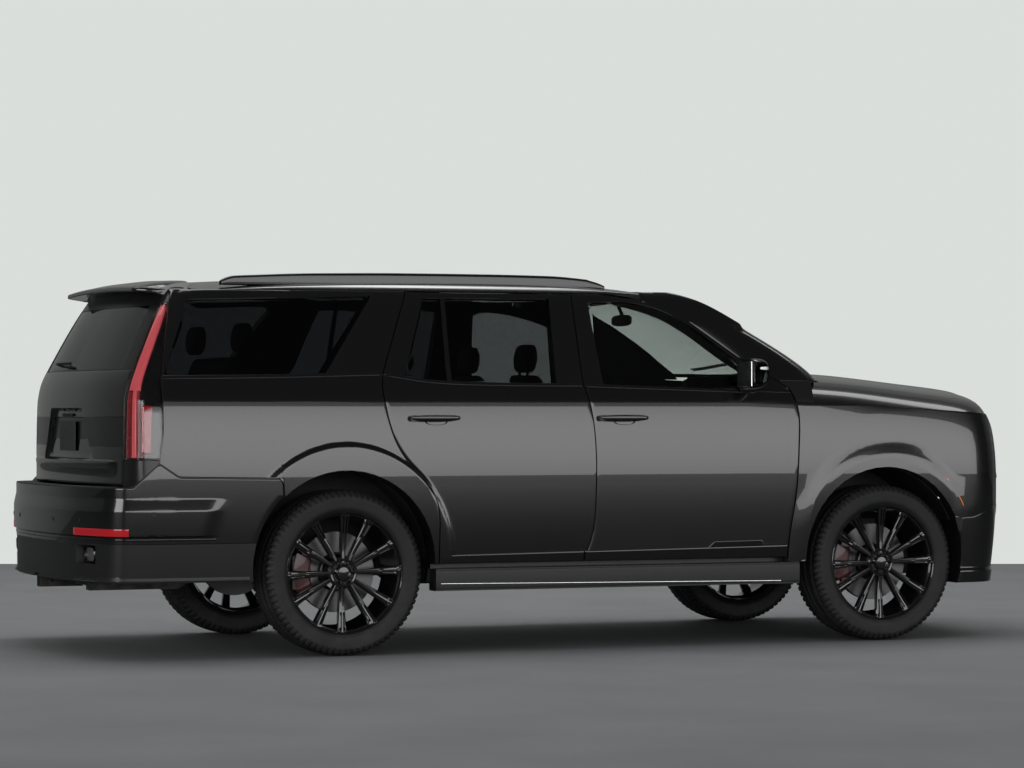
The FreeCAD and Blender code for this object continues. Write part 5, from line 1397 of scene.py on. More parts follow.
class VEHICLE_OT_rear_bumper(bpy.types.Operator):
    """The rear bumper: chamfered band, step pad, ribbed valance, reflectors and tail pipe finishers"""
    bl_idname = "vehicle.rear_bumper"
    bl_label = "Rear bumper"

    def execute(self, context):
        finish = finishes()

        def raised(x, y, z):
            """Stands proud in a band with an upper chamfer and a sharp lower edge; fades to the arch."""
            band = np.interp(z, [0.612, 0.616, 0.742, 0.800], [0, 1, 1, 0])
            fade = 1 - ease(x + 0.35 * (0.8 - z), rear(-0.70), rear(-0.62))
            return PROUD + 0.013 * band * fade

        def arch_v(z):
            """Plan station of the wheel arch's edge at a height."""
            away = np.sqrt(np.maximum(0.4865 ** 2 - (z - ARCH_HIGH) ** 2, 0.0))
            return station("bumper", np.minimum(REAR_AXLE - away, rear(-0.333)), z)
        rows, cols = 60, 112
        share = np.linspace(0, 1, cols)[None]
        top_v = float(arch_v(np.array([0.893]))[0])
        x_top = hull("bumper", np.linspace(0, top_v, cols), np.full(cols, 0.85))[:, 0]
        z = 0.5755 + np.linspace(0, 1, rows)[:, None] * (bumper_top(x_top)[None] - 0.5755)
        edge = arch_v(np.linspace(0.5755, 0.893, rows))[:, None]
        v = edge * share
        points, normals = hull("bumper", v, z), hull_normal("bumper", v, z)
        points = points + normals * raised(points[..., 0], points[..., 1], z)[..., None]
        points = across_middle(points)
        normals = across_middle(normals)
        normals[:, :cols - 1, 1] = -abs(normals[:, :cols - 1, 1])
        make("rear_bumper_skin", [slab(points, normals, 0.004)], finish["paint"], "body")
        stations = [float(tail_station("bumper", np.array([y]), np.array([0.52]))[0]) for y in (0.580, 0.800)]

        def inset(x, y, z):
            """Set back a little, with upright ribs under it near the bottom."""
            ribs = 0.003 * (np.sin(y * 260) > 0) * (z < 0.455) * (y < 0.93)
            return -0.006 + ribs - 0.02 * (z < 0.40) * (z - 0.40) / 0.013
        parts = [slab(*bumper_patch(0.0, stations[0] - 0.002, 0.402, 0.573, 13, 130, inset), 0.004),
                 slab(*bumper_patch(stations[0], stations[1], 0.390, 0.474, 10, 50, inset), 0.004),
                 slab(*bumper_patch(stations[1] + 0.002, float(arch_v(np.array([0.48]))[0]) - 0.004, 0.390,
                                    0.573, 13, 60, inset), 0.004)]
        make("rear_valance", pair_of(parts), finish["satin"], "body")
        line = slab(*bumper_patch(0.0, float(station("bumper", rear(-0.684), 0.6)), 0.592, 0.603, 4, 120,
                                  lambda x, y, z: 0.004 + 0 * x), 0.004)
        make("bumper_trim_line", pair_of([line]), finish["trim"], "body")
        ends = [float(station("bumper", x, 0.6)) for x in (rear(-1.283), rear(-1.119))]
        # The reflectors take the red lens's faint emission: a painted glow, as reflectors are no lamps
        reflector = slab(*bumper_patch(*ends, 0.617, 0.654, 6, 30, lambda x, y, z: 0.0155 + 0 * x), 0.006)
        make("bumper_reflectors", pair_of([reflector]), finish["red_lens"], "body")
        y_mid, z_mid = 0.690, 0.523
        x0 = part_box("exhaust")[0][0] - 0.012
        x1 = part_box("exhaust")[0][0] + 0.10
        angle = np.linspace(0, 2 * np.pi, 48, endpoint=False)
        across = np.sign(np.cos(angle)) * abs(np.cos(angle)) ** 0.45
        upward = np.sign(np.sin(angle)) * abs(np.sin(angle)) ** 0.5
        rings = []
        for x, half_y, half_z in ((x1, 0.088, 0.035), (x0 + 0.006, 0.092, 0.0385), (x0, 0.090, 0.0370),
                                  (x0 + 0.002, 0.0865, 0.0335), (x0 + 0.085, 0.082, 0.030)):
            slant = 0.10 * half_z * upward
            rings.append(np.column_stack([x - slant * 0.4, y_mid + half_y * across, z_mid + half_z * upward]))
        inside = np.array(rings)[[4, 4]]
        inside[0, :, 0] -= 0.002
        tips = [tube(np.array(rings), cap=False), tube(inside)]
        make("pipe_finishers", pair_of(tips), finish["smoked_metal"], "body")
        pad_y = np.linspace(0, 0.80, 60)
        x_edge = hull("bumper", tail_station("bumper", pad_y, np.full(60, 0.853)), np.full(60, 0.853))[:, 0]
        rows_x = np.linspace(0.006, 0.105, 24)[:, None]
        ridge = 0.0016 * (np.sin(rows_x * 2 * np.pi / 0.0125) > 0)
        pad = np.stack([x_edge[None] + rows_x, pad_y[None] + 0 * rows_x,
                        0.8562 + ridge + 0 * pad_y[None]], axis=-1)
        pad = across_middle(pad)
        up = np.zeros(pad.shape) + np.array([0, 0, 1.0])
        make("step_pad", [slab(pad, up, 0.0022, 0.0005)], finish["plastic"], "body")
        sensors = []
        for y, z in ((0.34, 0.690), (0.66, 0.690)):
            v = float(tail_station("bumper", np.array([y]), np.array([z]))[0])
            spot, out = hull("bumper", v, z), hull_normal("bumper", np.array(v), np.array(z))
            sensors.append((spot + out * 0.0145, out))
        v, z = float(station("bumper", rear(-0.997), 0.7235)), 0.7235
        out = hull_normal("bumper", np.array(v), np.array(z))
        sensors.append((hull("bumper", v, z) + out * 0.0145, out))
        buttons = [button_part(spot, out, 0.011, 0.0022) for spot, out in sensors]
        make("bumper_sensors", pair_of(buttons), finish["satin"], "body")
        return {"FINISHED"}


def button_part(spot, out, radius, height):
    """A shallow round button standing on a surface, with a rounded rim."""
    out = unit(np.asarray(out, float))
    side = unit(np.cross(out, [0.0, 0.0, 1.0]))
    up = np.cross(out, side)
    angle = np.linspace(0, 2 * np.pi, 28, endpoint=False)[:, None]
    around = side * np.cos(angle) + up * np.sin(angle)
    rings = [spot + around * radius * grow + out * height * lift
             for grow, lift in ((1.0, -1.0), (1.0, 0.5), (0.92, 0.9), (0.80, 1.0), (0.74, 0.8), (0.2, 0.85))]
    return tube(np.array(rings))


# The front


def span_patch(kind, edges, shares, levels, rows, cols, raised):
    """A grid of a hull between two plan stations that vary with height: shares across from the first to the
    second, levels from low to high, raised along the normals by a number or a function of x, y and z."""
    z = np.linspace(levels[0], levels[1], rows)[:, None] + np.zeros((1, cols))
    first, second = edges(z[:, 0])
    f = np.linspace(shares[0], shares[1], cols)[None]
    v = first[:, None] + (second - first)[:, None] * f
    points, normals = hull(kind, v, z), hull_normal(kind, v, z)
    height = raised(points[..., 0], points[..., 1], z) if callable(raised) else raised + 0 * z
    return points + normals * height[..., None], normals


def lamp_edges(z):
    """Plan stations of a headlamp's outer and inner edges."""
    x = front(np.interp(z, [0.735, 1.140, 1.205], [0.750, 0.737, 0.645]))
    return station("nose", x, z), nose_station("nose", 0.645 + 0 * z, z)


def grille_edges(z):
    """Plan stations of the grille's side and of the middle."""
    return nose_station("nose", 0.638 + 0 * z, z), 3.0 + 0 * z


class VEHICLE_OT_headlamps(bpy.types.Operator):
    """Headlamps: a dark housing, an upright light guide, stacked projectors and a slim upper lamp"""
    bl_idname = "vehicle.headlamps"
    bl_label = "Headlamps"

    def execute(self, context):
        finish = finishes()
        back = slab(*span_patch("nose", lamp_edges, (0, 1), (0.738, 1.162), 50, 20, -0.040), 0.012)
        rims = [slab(*span_patch("nose", lamp_edges, span, (0.738, 1.162), 50, 4, -0.003), 0.036)
                for span in ((0, 0.045), (0.93, 1.0), (0.36, 0.42))]
        bands = [slab(*span_patch("nose", lamp_edges, (0, 1), (z, z + 0.010), 3, 20, -0.003), 0.036)
                 for z in (0.738, 1.152)]
        cells = [slab(*span_patch("nose", lamp_edges, (0.44, 0.92), (z, z + 0.012), 3, 12, -0.010), 0.028)
                 for z in (0.838, 0.928, 1.018, 1.108)]
        upper = slab(*span_patch("nose", lamp_edges, (0, 0.9), (1.1655, 1.186), 6, 24, -0.010), 0.012)
        make("headlamp_housings", pair_of([back, upper] + rims + bands + cells), finish["trim"], "body",
             ("headlamps",))
        guide = slab(*span_patch("nose", lamp_edges, (0.07, 0.27), (0.775, 1.130), 50, 6, -0.014), 0.012)
        slim = slab(*span_patch("nose", lamp_edges, (0.03, 0.80), (1.171, 1.180), 4, 24, -0.004), 0.008)
        make("headlamp_guides", pair_of([guide, slim]), finish["white_lens"], "body")
        lenses = []
        for z in (0.796, 0.889, 0.979, 1.069, 1.136):
            first, second = lamp_edges(np.array([z]))
            v = first + (second - first) * 0.68
            spot, out = hull("nose", v, np.array([z]))[0], hull_normal("nose", v, np.array([z]))[0]
            lenses.append(button_part(spot - out * 0.030, out, 0.026 if z < 1.1 else 0.012, 0.012))
        make("headlamp_projectors", pair_of(lenses), finish["disc"], "body")
        cover = slab(*span_patch("nose", lamp_edges, (0, 1), (0.7365, 1.1635), 56, 24, 0.0005), 0.003)
        make("headlamp_lenses", pair_of([cover]), finish["lens"], "body")
        return {"FINISHED"}


class VEHICLE_OT_grille(bpy.types.Operator):
    """The grille: a frame, stepped cross bars and upright fins over a dark duct"""
    bl_idname = "vehicle.grille"
    bl_label = "Grille"

    def execute(self, context):
        finish = finishes()
        back = slab(*span_patch("nose", grille_edges, (0, 1), (0.740, 1.160), 20, 60, -0.075), 0.010)
        frame_parts = [slab(*span_patch("nose", grille_edges, (0, 1), (z, z + 0.024), 5, 60, 0.001), 0.060)
                       for z in (0.7365, 1.1395)]
        frame_parts.append(slab(*span_patch("nose", grille_edges, (0, 0.055), (0.7365, 1.1635), 40, 4, 0.001),
                                0.060))
        make("grille_frame", pair_of(frame_parts), finish["trim"], "body", ("grille",))
        bars = [slab(*span_patch("nose", grille_edges, (0.05, 1), (z, z + 0.013), 4, 60, -0.016), 0.030)
                for z in np.linspace(0.790, 1.105, 6)]
        fins = []
        for z in np.linspace(0.790, 1.105, 6)[:-1] + 0.013:
            for share in np.linspace(0.085, 0.985, 26):
                fins.append(slab(*span_patch("nose", grille_edges, (share, share + 0.006), (z, z + 0.050), 2,
                                             2, -0.024), 0.020, 0.0006))
        rims = [slab(*span_patch("nose", grille_edges, (0.05, 1), (z, z + 0.004), 2, 60, -0.0145), 0.004,
                     0.0005) for z in np.linspace(0.7945, 1.1095, 6)]
        make("grille_bars", pair_of(bars), finish["trim"], "body")
        make("grille_fins", pair_of(fins), finish["satin"], "body")
        make("grille_accents", pair_of(rims), finish["smoked_metal"], "body")
        make("grille_duct", pair_of([back]), finish["plastic"], "body")
        return {"FINISHED"}


class VEHICLE_OT_front_bumper(bpy.types.Operator):
    """The front bumper: skin to the wheel arches, lower intake with bars, chin and side marker lamps"""
    bl_idname = "vehicle.front_bumper"
    bl_label = "Front bumper"

    def execute(self, context):
        finish = finishes()

        def edges(z):
            """Plan stations of the wheel arch's edge and of the middle."""
            arc = np.sqrt(np.maximum(0.488 ** 2 - (z - ARCH_HIGH) ** 2, 0.0))
            x = FRONT_AXLE + np.maximum(arc, 0.432 + 0.050 * (z - 0.300) / 0.355) + 0.002
            return station("nose", x, z), 3.0 + 0 * z

        def raised(x, y, z):
            """Steps in round the lower intake, and stands out as a chin below it."""
            wide = 1 - ease(y, 0.60, 0.63)
            duct = ease(z, 0.392, 0.400) * (1 - ease(z, 0.560, 0.568)) * wide
            fold = 0.006 * ease(z, 0.640, 0.700) * ease(x, front(0.72), front(0.80))
            chin = 0.008 * (1 - ease(z, 0.36, 0.385))
            return PROUD - 0.024 * duct + fold + chin
        rows, cols = 60, 94
        v0 = edges(np.linspace(0.304, 0.655, rows))[0]
        v = v0[:, None] + (3 - v0)[:, None] * np.linspace(0, 1, cols)[None]
        top = np.interp(hull("nose", v[-1], np.full(cols, 0.65))[:, 0],
                        [front(0.480), front(0.560), front(0.760)], [0.6535, 0.6585, 0.7235])
        z = 0.304 + np.linspace(0, 1, rows)[:, None] * (top[None] - 0.304)
        points, normals = hull("nose", v, z), hull_normal("nose", v, z)
        points = points + normals * raised(points[..., 0], points[..., 1], z)[..., None]
        mirror_y = np.array([1, -1, 1])
        points = np.concatenate([points, (points * mirror_y)[:, -2::-1]], axis=1)
        normals = np.concatenate([normals, (normals * mirror_y)[:, -2::-1]], axis=1)
        make("front_bumper_skin", [slab(points, normals, 0.004)], finish["paint"], "body")
        bars = [slab(*span_patch("nose", lambda z: (nose_station("nose", 0.60 + 0 * z, z), 3.0 + 0 * z),
                                 (0, 1), (z, z + 0.014), 3, 60, -0.004), 0.018)
                for z in (0.425, 0.465, 0.505, 0.540)]
        make("intake_bars", pair_of(bars), finish["plastic"], "body")
        chin = slab(*span_patch("nose", lambda z: (nose_station("nose", 0.66 + 0 * z, z), 3.0 + 0 * z),
                                (0, 1), (0.352, 0.384), 6, 60, 0.011), 0.006)
        make("front_chin", pair_of([chin]), finish["trim"], "body")
        angle = np.radians(np.linspace(25, 48, 30))
        low = np.column_stack([FRONT_AXLE + 0.553 * np.cos(angle), ARCH_HIGH + 0.553 * np.sin(angle)])
        high = np.column_stack([FRONT_AXLE + 0.583 * np.cos(angle), ARCH_HIGH + 0.583 * np.sin(angle)])
        marker = side_patch("nose", low[::-1], high[::-1], [low[-1], high[-1]], [low[0], high[0]], 5, 30,
                            proud=PROUD + 0.0022)
        both_sides("side_marker_{side}", [slab(*marker, 0.004)], finish["amber"], "body")
        return {"FINISHED"}


def pillar_patch(pillar):
    """A windscreen pillar's grid: the hull's rows low down, and above them rows that run along the flank
    10 mm behind the glass, round a tight corner and straight in to it."""
    z = np.linspace(1.395, 1.862, 72)
    first, last = pillar(z)
    s = np.linspace(0, 1, 16)
    v = first[:, None] + (last - first)[:, None] * s
    soft = hull("cabin", v, z[:, None] + 0 * v)
    start, end = soft[:, 0], soft[:, -1]
    reach = end[:, 0] - 0.010
    knots_x = np.stack([start[:, 0], reach - 0.010, reach - 0.002, reach, end[:, 0]], axis=1)
    knots_y = start[:, 1:2] + np.array([0, 0.001, -0.002, -0.012, 0])
    knots_y[:, -1] = end[:, 1]
    share = [0, 0.55, 0.62, 0.70, 1]
    sharp = np.stack([[np.interp(s, share, row) for row in knots_x],
                      [np.interp(s, share, row) for row in knots_y], z[:, None] + 0 * v], axis=-1)
    blend = ease(z, 1.655, 1.705)[:, None, None]
    points = (1 - blend) * soft + blend * sharp
    normals = grid_normals(points)
    normals *= np.sign(normals[20, 3, 1])
    return points + normals * PROUD, normals


def body_pressing(node, sign, rows, glass):
    """A body side's own mesh, with the flank's lip beside the pillar drawn back 16 mm behind the glass's edge:
    x = min(x, edge(z) - 0.016) where the lip stands more than 30 mm outside the glass."""
    mesh = frame["nodes"][node].data
    mesh.calc_loop_triangles()
    points = np.empty(len(mesh.vertices) * 3, np.float32)
    mesh.vertices.foreach_get("co", points)
    points = points.reshape(-1, 3).astype(float)
    faces = np.empty(len(mesh.loop_triangles) * 3, np.int32)
    mesh.loop_triangles.foreach_get("vertices", faces)
    faces = faces.reshape(-1, 3)
    edge = np.interp(points[:, 2], rows, glass[:, 0]) - 0.016
    outside = points[:, 1] * sign > np.interp(points[:, 2], rows, glass[:, 1]) + 0.030
    lip = outside & (points[:, 2] > rows[0]) & (points[:, 2] < rows[-1]) & (points[:, 0] > edge)
    points[lip, 0] = edge[lip]
    return points, faces[:, [0, 1, 2, 2]]


class VEHICLE_OT_screen(bpy.types.Operator):
    """The windscreen with its dark border, the skins of its pillars and header, and the wipers"""
    bl_idname = "vehicle.screen"
    bl_label = "Windscreen"

    def execute(self, context):
        finish = finishes()

        def side(z):
            """Half width of the windscreen at a height."""
            return np.interp(z, [1.412, 1.862], [0.8608, 0.7067])

        def edges(z):
            """Plan stations of the windscreen's edge and of the middle."""
            return nose_station("cabin", side(z) - 0.003, z), 3.0 + 0 * z
        pane = slab(*span_patch("cabin", edges, (0, 1), (1.414, 1.860), 34, 42, -0.002), 0.005)
        make("windscreen_pane", pair_of([pane]), finish["clear"], "body", ("windscreen",))
        border = [slab(*span_patch("cabin", edges, span, level, rows, cols, 0.0004), 0.0024, 0.0004)
                  for span, level, rows, cols in (((0, 0.045), (1.414, 1.860), 50, 4),
                                                  ((0, 1), (1.832, 1.8605), 5, 50),
                                                  ((0, 1), (1.4135, 1.446), 5, 50))]
        make("windscreen_border", pair_of(border), finish["trim"], "body")

        def pillar(z):
            """Plan stations of a pillar's edges, at the door's shut line and at the glass."""
            x = np.interp(z, [point[1] for point in SCREEN_PILLAR[:5]],
                          [point[0] for point in SCREEN_PILLAR[:5]])
            return station("cabin", x + 0.006, z), nose_station("cabin", side(z) + 0.001, z)
        both_sides("pillar_skin_{side}", [slab(*pillar_patch(pillar), 0.006)], finish["paint"],
                   "body")
        rows = np.linspace(1.70, 1.80, 21)
        glass = hull("cabin", nose_station("cabin", side(rows) + 0.001, rows), rows)
        for name, sign in SIDES.items():
            pressing = body_pressing("body_side_" + name, sign, rows, glass)
            make("side_pressing_" + name, [pressing], finish["jamb"], "body", ("body_side_" + name,))
        cols = 60
        v = np.linspace(float(nose_station("cabin", 0.735, 1.862)), 3.0, cols)
        top = solve(lambda z: -hull("cabin", v, z)[:, 0], np.full(cols, -front(-1.172)), 1.864, 1.9215)
        z = 1.8635 + np.linspace(0, 1, 16)[:, None] * (top[None] - 1.8635)
        v = v[None] + 0 * z
        header, normals = hull("cabin", v, z) + PROUD * hull_normal("cabin", v, z), hull_normal("cabin", v, z)
        make("screen_header", pair_of([slab(header, normals, 0.005)]), finish["paint"], "body")
        y = np.linspace(-0.68, 0.68, 60)
        foot = hull("cabin", nose_station("cabin", abs(y), 1.45 + 0 * y), 1.45 + 0 * y)
        low = np.interp(abs(y), [0, 0.4, 0.68], [1.437, 1.431, 1.410])
        edge = np.interp(abs(y), [0, 0.4, 0.6, 0.68],
                         [point[0] for point in HOOD_PLAN["back"][:3]] + [front(-0.295)])
        ribs = [(foot[:, 0] - 0.006, low), (edge - 0.012, low - 0.034), (edge + 0.030, low - 0.040)]
        sheet = np.stack([np.column_stack([x, y, z]) for x, z in ribs])
        up = grid_normals(sheet)
        if up[1, 30, 2] < 0:
            sheet, up = sheet[:, ::-1], -up[:, ::-1]
        make("cowl_panel", [slab(sheet, up, 0.003)], finish["plastic"], "body")
        wipers = []
        s = np.linspace(0, 1, 24)
        for y0, y1 in ((0.62, -0.02), (0.02, -0.60)):
            for z0, z1, thick, lift in ((1.462, 1.502, 0.007, 0.016), (1.474, 1.510, 0.004, 0.008)):
                y, z = y0 + (y1 - y0) * s, z0 + (z1 - z0) * s
                v = nose_station("cabin", abs(y), z)
                line = hull("cabin", v, z) * np.stack([s ** 0, np.sign(y + 1e-9), s ** 0], axis=1)
                out = np.array([0.55, 0, 0.83])
                ring = np.radians(np.arange(8) * 45)
                around = np.cos(ring)[:, None] * out + np.sin(ring)[:, None] * np.cross(out, [0, 1.0, 0])
                wipers.append(tube(line[:, None] + out * lift + around[None] * thick))
        make("wipers", wipers, finish["rubber"], "body")
        return {"FINISHED"}


# Trim


def bar_part(centres, half_y, half_z, power=4.0, count=24):
    """A rounded bar along x: superellipse rings at centres, with half sizes that may vary along it."""
    angle = np.linspace(0, 2 * np.pi, count, endpoint=False)
    c = np.sign(np.cos(angle)) * abs(np.cos(angle)) ** (2 / power)
    s = np.sign(np.sin(angle)) * abs(np.sin(angle)) ** (2 / power)
    centres = np.asarray(centres, float)
    half_y = np.broadcast_to(half_y, len(centres))[:, None]
    half_z = np.broadcast_to(half_z, len(centres))[:, None]
    return tube(np.stack([centres[:, :1] + 0 * c, centres[:, 1:2] + half_y * c, centres[:, 2:] + half_z * s],
                         axis=-1))


def swollen(s, power=0.35):
    """Half size along a bar that rounds off at both ends, for s from 0 to 1."""
    return np.clip(4 * s * (1 - s), 0, 1) ** power


class VEHICLE_OT_side_trim(bpy.types.Operator):
    """Strap handles, belt mouldings, lower cladding, roof rails and running boards"""
    bl_idname = "vehicle.side_trim"
    bl_label = "Side trim"

    def execute(self, context):
        finish = finishes()
        s = np.linspace(0, 1, 40)
        for door, x0, x1 in (("front", 0.020, 0.297), ("rear", rear(0.336), rear(0.605))):
            x = x0 + (x1 - x0) * s
            y = HALF - 0.006 + 0.028 + 0.0065 * swollen(s, 0.5)
            strap = bar_part(np.column_stack([x, y, 1.199 + 0 * s]), 0.0105 * swollen(s, 0.3),
                             0.0165 * swollen(s, 0.25), 3.2)
            feet = []
            for at in (x0 + 0.026, x1 - 0.034):
                depth = np.linspace(0, 1, 8)
                centre = np.column_stack([at + 0 * depth, HALF - 0.014 + 0.036 * depth, 1.199 + 0 * depth])
                foot = bar_part(centre[:, [1, 0, 2]], 0.019 - 0.004 * depth, 0.0145, 3.0)
                feet.append((foot[0][:, [1, 0, 2]], foot[1]))
            cup_centre = (x0 + x1) / 2 + 0.012
            reach = np.linspace(0, 1, 10)
            cup = bar_part(np.column_stack([HALF - 0.0045 + 0.004 * reach, cup_centre + 0 * reach,
                                            1.183 + 0 * reach]), 0.062 * (1 - 0.1 * reach),
                           0.021 * (1 - 0.1 * reach), 2.4)
            cup = (cup[0][:, [1, 0, 2]], cup[1])
            both_sides("door_handle_%s_{side}" % door, [strap] + feet, finish["trim"],
                       "door_%s_{side}" % door)
            both_sides("handle_cup_%s_{side}" % door, [cup], finish["satin"],
                       "door_%s_{side}" % door)
        belts = {"door_front_{side}": [(B_PILLAR + 0.004, 1.3655), (front(-1.0), 1.3425),
                                       (front(-0.765), 1.335)],
                 "door_rear_{side}": [(rear(0.236), 1.418), (rear(0.333), 1.403), (rear(0.450), 1.386),
                                      (rear(0.588), 1.377), (B_PILLAR - 0.005, 1.3685)],
                 "body": [(LAMP_X + 0.008, 1.4005), (rear(-0.400), 1.407), (rear(0.205), 1.4225)]}
        for body, line in belts.items():
            low = np.array(line) - [0, 0.007]
            high = np.array(line) + [0, 0.009]
            strip = side_patch("cabin", curve(low), curve(high), [low[0], high[0]], [low[-1], high[-1]], 6,
                               60, lift=False, proud=0.0045)
            label = body.replace("_{side}", "").replace("body", "quarter")
            both_sides("belt_strip_%s_{side}" % label, [slab(*strip, 0.006)], finish["trim"],
                       body)
        doors = {"door_rear_{side}": (rear(0.503), B_PILLAR - 0.014), "door_front_{side}": (B_PILLAR - 0.005,
                                                                                           front(-0.590))}
        for body, (x0, x1) in doors.items():
            low = [(x0, 0.4605), (x1, 0.4605)]
            high = [(x, 0.499 + 0.012 * (x + 0.86)) for x in (x0, x1)]
            sill = side_patch("nose", low, high, [low[0], high[0]], [low[1], high[1]], 8, 60,
                              lift=False, proud=0.0062)
            parts = [slab(*sill, 0.008)]
            if "front" in body:
                pod = [(0.650, 0.517), (0.985, 0.522)], [(0.690, 0.549), (0.970, 0.552)]
                patch = side_patch("nose", *pod, [pod[0][0], pod[1][0]], [pod[0][1], pod[1][1]], 8, 30,
                                   lift=False, proud=0.0065)
                parts.append(slab(*patch, 0.008))
            both_sides("sill_cladding_%s" % body.replace("{side}", "") + "{side}", parts, finish["trim"],
                       body)
        turn = np.linspace(0, np.pi / 2, 12)
        x = rear(np.concatenate([-0.560 + 0.06 * (1 - np.cos(turn)), np.linspace(-0.48, 1.46, 60),
                                 1.470 + 0.09 * np.sin(turn)]))
        top_line = np.array([(-0.560, 1.893), (-0.545, 1.905), (-0.500, 1.921), (-0.138, 1.938),
                             (0.300, 1.946), (0.628, 1.9475), (1.000, 1.9475), (1.331, 1.943),
                             (1.473, 1.925), (1.546, 1.903), (1.560, 1.892)])
        crest = np.interp(x, rear(top_line[:, 0]), top_line[:, 1])
        crest = np.convolve(np.pad(crest, 3, mode="edge"), np.ones(7) / 7, mode="valid")
        base = np.minimum(1.872, crest - 0.006)
        y = 0.688 + 0 * x
        rail = bar_part(np.column_stack([x, y, (crest + base) / 2]), 0.0165, (crest - base) / 2, 5.0)
        make("roof_rail_bars", pair_of([rail]), finish["trim"], "body", ("roof_rails",))
        low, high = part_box("running_boards")
        x0, x1, out, top, bottom = low[0], high[0], high[1], high[2], 0.318
        s = np.linspace(0, 1, 50)
        x = x0 - 0.001 + (x1 - x0 + 0.002) * s
        board = bar_part(np.column_stack([x, out - 0.049 + 0 * s, (top + bottom) / 2 + 0 * s]), 0.0505,
                         (top - bottom) / 2 + 0.001, 9.0, 40)
        ridges = [box_part((x0 + 0.05, out - 0.084 + 0.0145 * k, top - 0.001),
                           (x1 - 0.05, out - 0.077 + 0.0145 * k, top + 0.0025), 0.001) for k in range(5)]
        make("running_board_shells", pair_of([board]), finish["satin"], "body")
        make("board_treads", pair_of(ridges), finish["plastic"], "body")
        strip = bar_part(np.column_stack([np.linspace(rear(0.516), rear(2.452), 30),
                                          out + 0.0006 + np.zeros(30), np.linspace(0.3545, 0.3335, 30)]),
                         0.0022, 0.0040, 4.0, 12)
        make("board_strips", pair_of([strip]), finish["bright"], "body")
        return {"FINISHED"}


class VEHICLE_OT_mirrors(bpy.types.Operator):
    """Door mirrors: rounded shells on a foot, with the glass behind and a turn lamp at the corner"""
    bl_idname = "vehicle.mirrors"
    bl_label = "Door mirrors"

    def execute(self, context):
        finish = finishes()
        s = np.linspace(0, 1, 26)
        y = 0.986 + 0.196 * s
        angle = np.linspace(0, 2 * np.pi, 48, endpoint=False)
        c, n = np.cos(angle), np.sin(angle)
        grow = swollen(0.04 + 0.92 * s, 0.16)[:, None]
        reach = np.where(c > 0, 0.064, 0.044)
        x = front(-0.828) + grow * reach * np.sign(c) * abs(c) ** np.where(c > 0, 0.95, 0.22)
        z = 1.4285 + 0.010 * (s[:, None] - 0.5) + grow * 0.082 * np.sign(n) * abs(n) ** 0.55
        shell = tube(np.stack([x, y[:, None] + 0 * x, z], axis=-1))
        foot_s = np.linspace(0, 1, 14)
        centre = np.column_stack([1.320 + 0.052 * foot_s, front(-0.822) + 0 * foot_s, 0.962 + 0.062 * foot_s])
        foot = bar_part(centre, 0.034 - 0.006 * foot_s, 0.030 - 0.004 * foot_s, 3.0)
        foot = (foot[0][:, [1, 2, 0]], foot[1])
        both_sides("mirror_shell_{side}", [shell], finish["trim"], "door_front_{side}",
                   ("mirror_{side}",), 50)
        both_sides("mirror_foot_{side}", [foot], finish["satin"], "door_front_{side}")
        glass = box_part((front(-0.8755), 0.998, 1.362), (front(-0.8715), 1.170, 1.494), 0.0015)
        both_sides("mirror_glass_{side}", [glass], finish["bright"], "door_front_{side}")
        lens_s = np.linspace(0, 1, 20)
        ends = np.column_stack([1.135 + 0.0465 * np.sin(lens_s * np.pi / 2), front(-0.766) - 0.062 * (
            1 - np.cos(lens_s * np.pi / 2)), 1.458 + 0 * lens_s])
        lens = bar_part(ends[:, [1, 0, 2]], 0.004, 0.0085 * swollen(0.1 + 0.8 * lens_s, 0.3), 4.0, 12)
        both_sides("turn_lens_{side}", [lens], finish["white_lens"], "door_front_{side}")
        return {"FINISHED"}


class VEHICLE_OT_spoiler(bpy.types.Operator):
    """The wing over the rear window: a lofted blade with side fins and the high brake lamp"""
    bl_idname = "vehicle.spoiler"
    bl_label = "Spoiler"

    def execute(self, context):
        finish = finishes()
        y = np.linspace(-0.713, 0.713, 90)[:, None]
        share = abs(y) / 0.713
        tail_x = rear(-1.010) + 0.010 * share ** 2 + 0.105 * np.clip((share - 0.86) / 0.14, 0, 1) ** 2
        front_x = rear(-0.7385)
        crown = -0.0185 * (abs(y) / 0.72) ** 2.2 - 0.006 * np.clip((share - 0.9) / 0.1, 0, 1) ** 2
        along_top = [(0.0, 1.9065), (0.30, 1.9035), (0.62, 1.8925), (0.92, 1.8750), (0.985, 1.8690),
                     (1.0, 1.8630)]
        along_low = [(1.0, 1.8520), (0.985, 1.8475), (0.80, 1.8435), (0.45, 1.8440), (0.12, 1.8620),
                     (0.0, 1.8720)]
        f, z = np.array(along_top + along_low).T
        x = front_x + (tail_x - front_x) * f[None]
        rings = np.stack([x, y + 0 * x, z[None] + crown], axis=-1)
        blade = tube(rings)
        fins = []
        for number in (0, 1):
            side_s = np.linspace(0, 1, 12)
            xs = rear(-0.760) - 0.135 * side_s
            fins.append(bar_part(np.column_stack([xs, 0.7115 - 0.004 * side_s,
                                                  1.846 - 0.014 * side_s - 0.014 * number]), 0.004,
                                 0.017 * swollen(0.05 + 0.9 * side_s, 0.4), 5.0, 16))
        make("spoiler_blade", [blade], finish["paint"], "tailgate", (), 40)
        make("spoiler_fins", pair_of(fins[:1]), finish["trim"], "tailgate")
        lamp = box_part((rear(-1.004), -0.16, 1.8535), (rear(-0.985), 0.16, 1.8615), 0.002)
        make("high_brake_lamp", [lamp], finish["red_lens"], "tailgate")
        return {"FINISHED"}


# The cabin


FLOOR_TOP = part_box("seats")[0][2] - 0.0003
LOAD_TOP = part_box("rear_bench")[0][2] - 0.0003


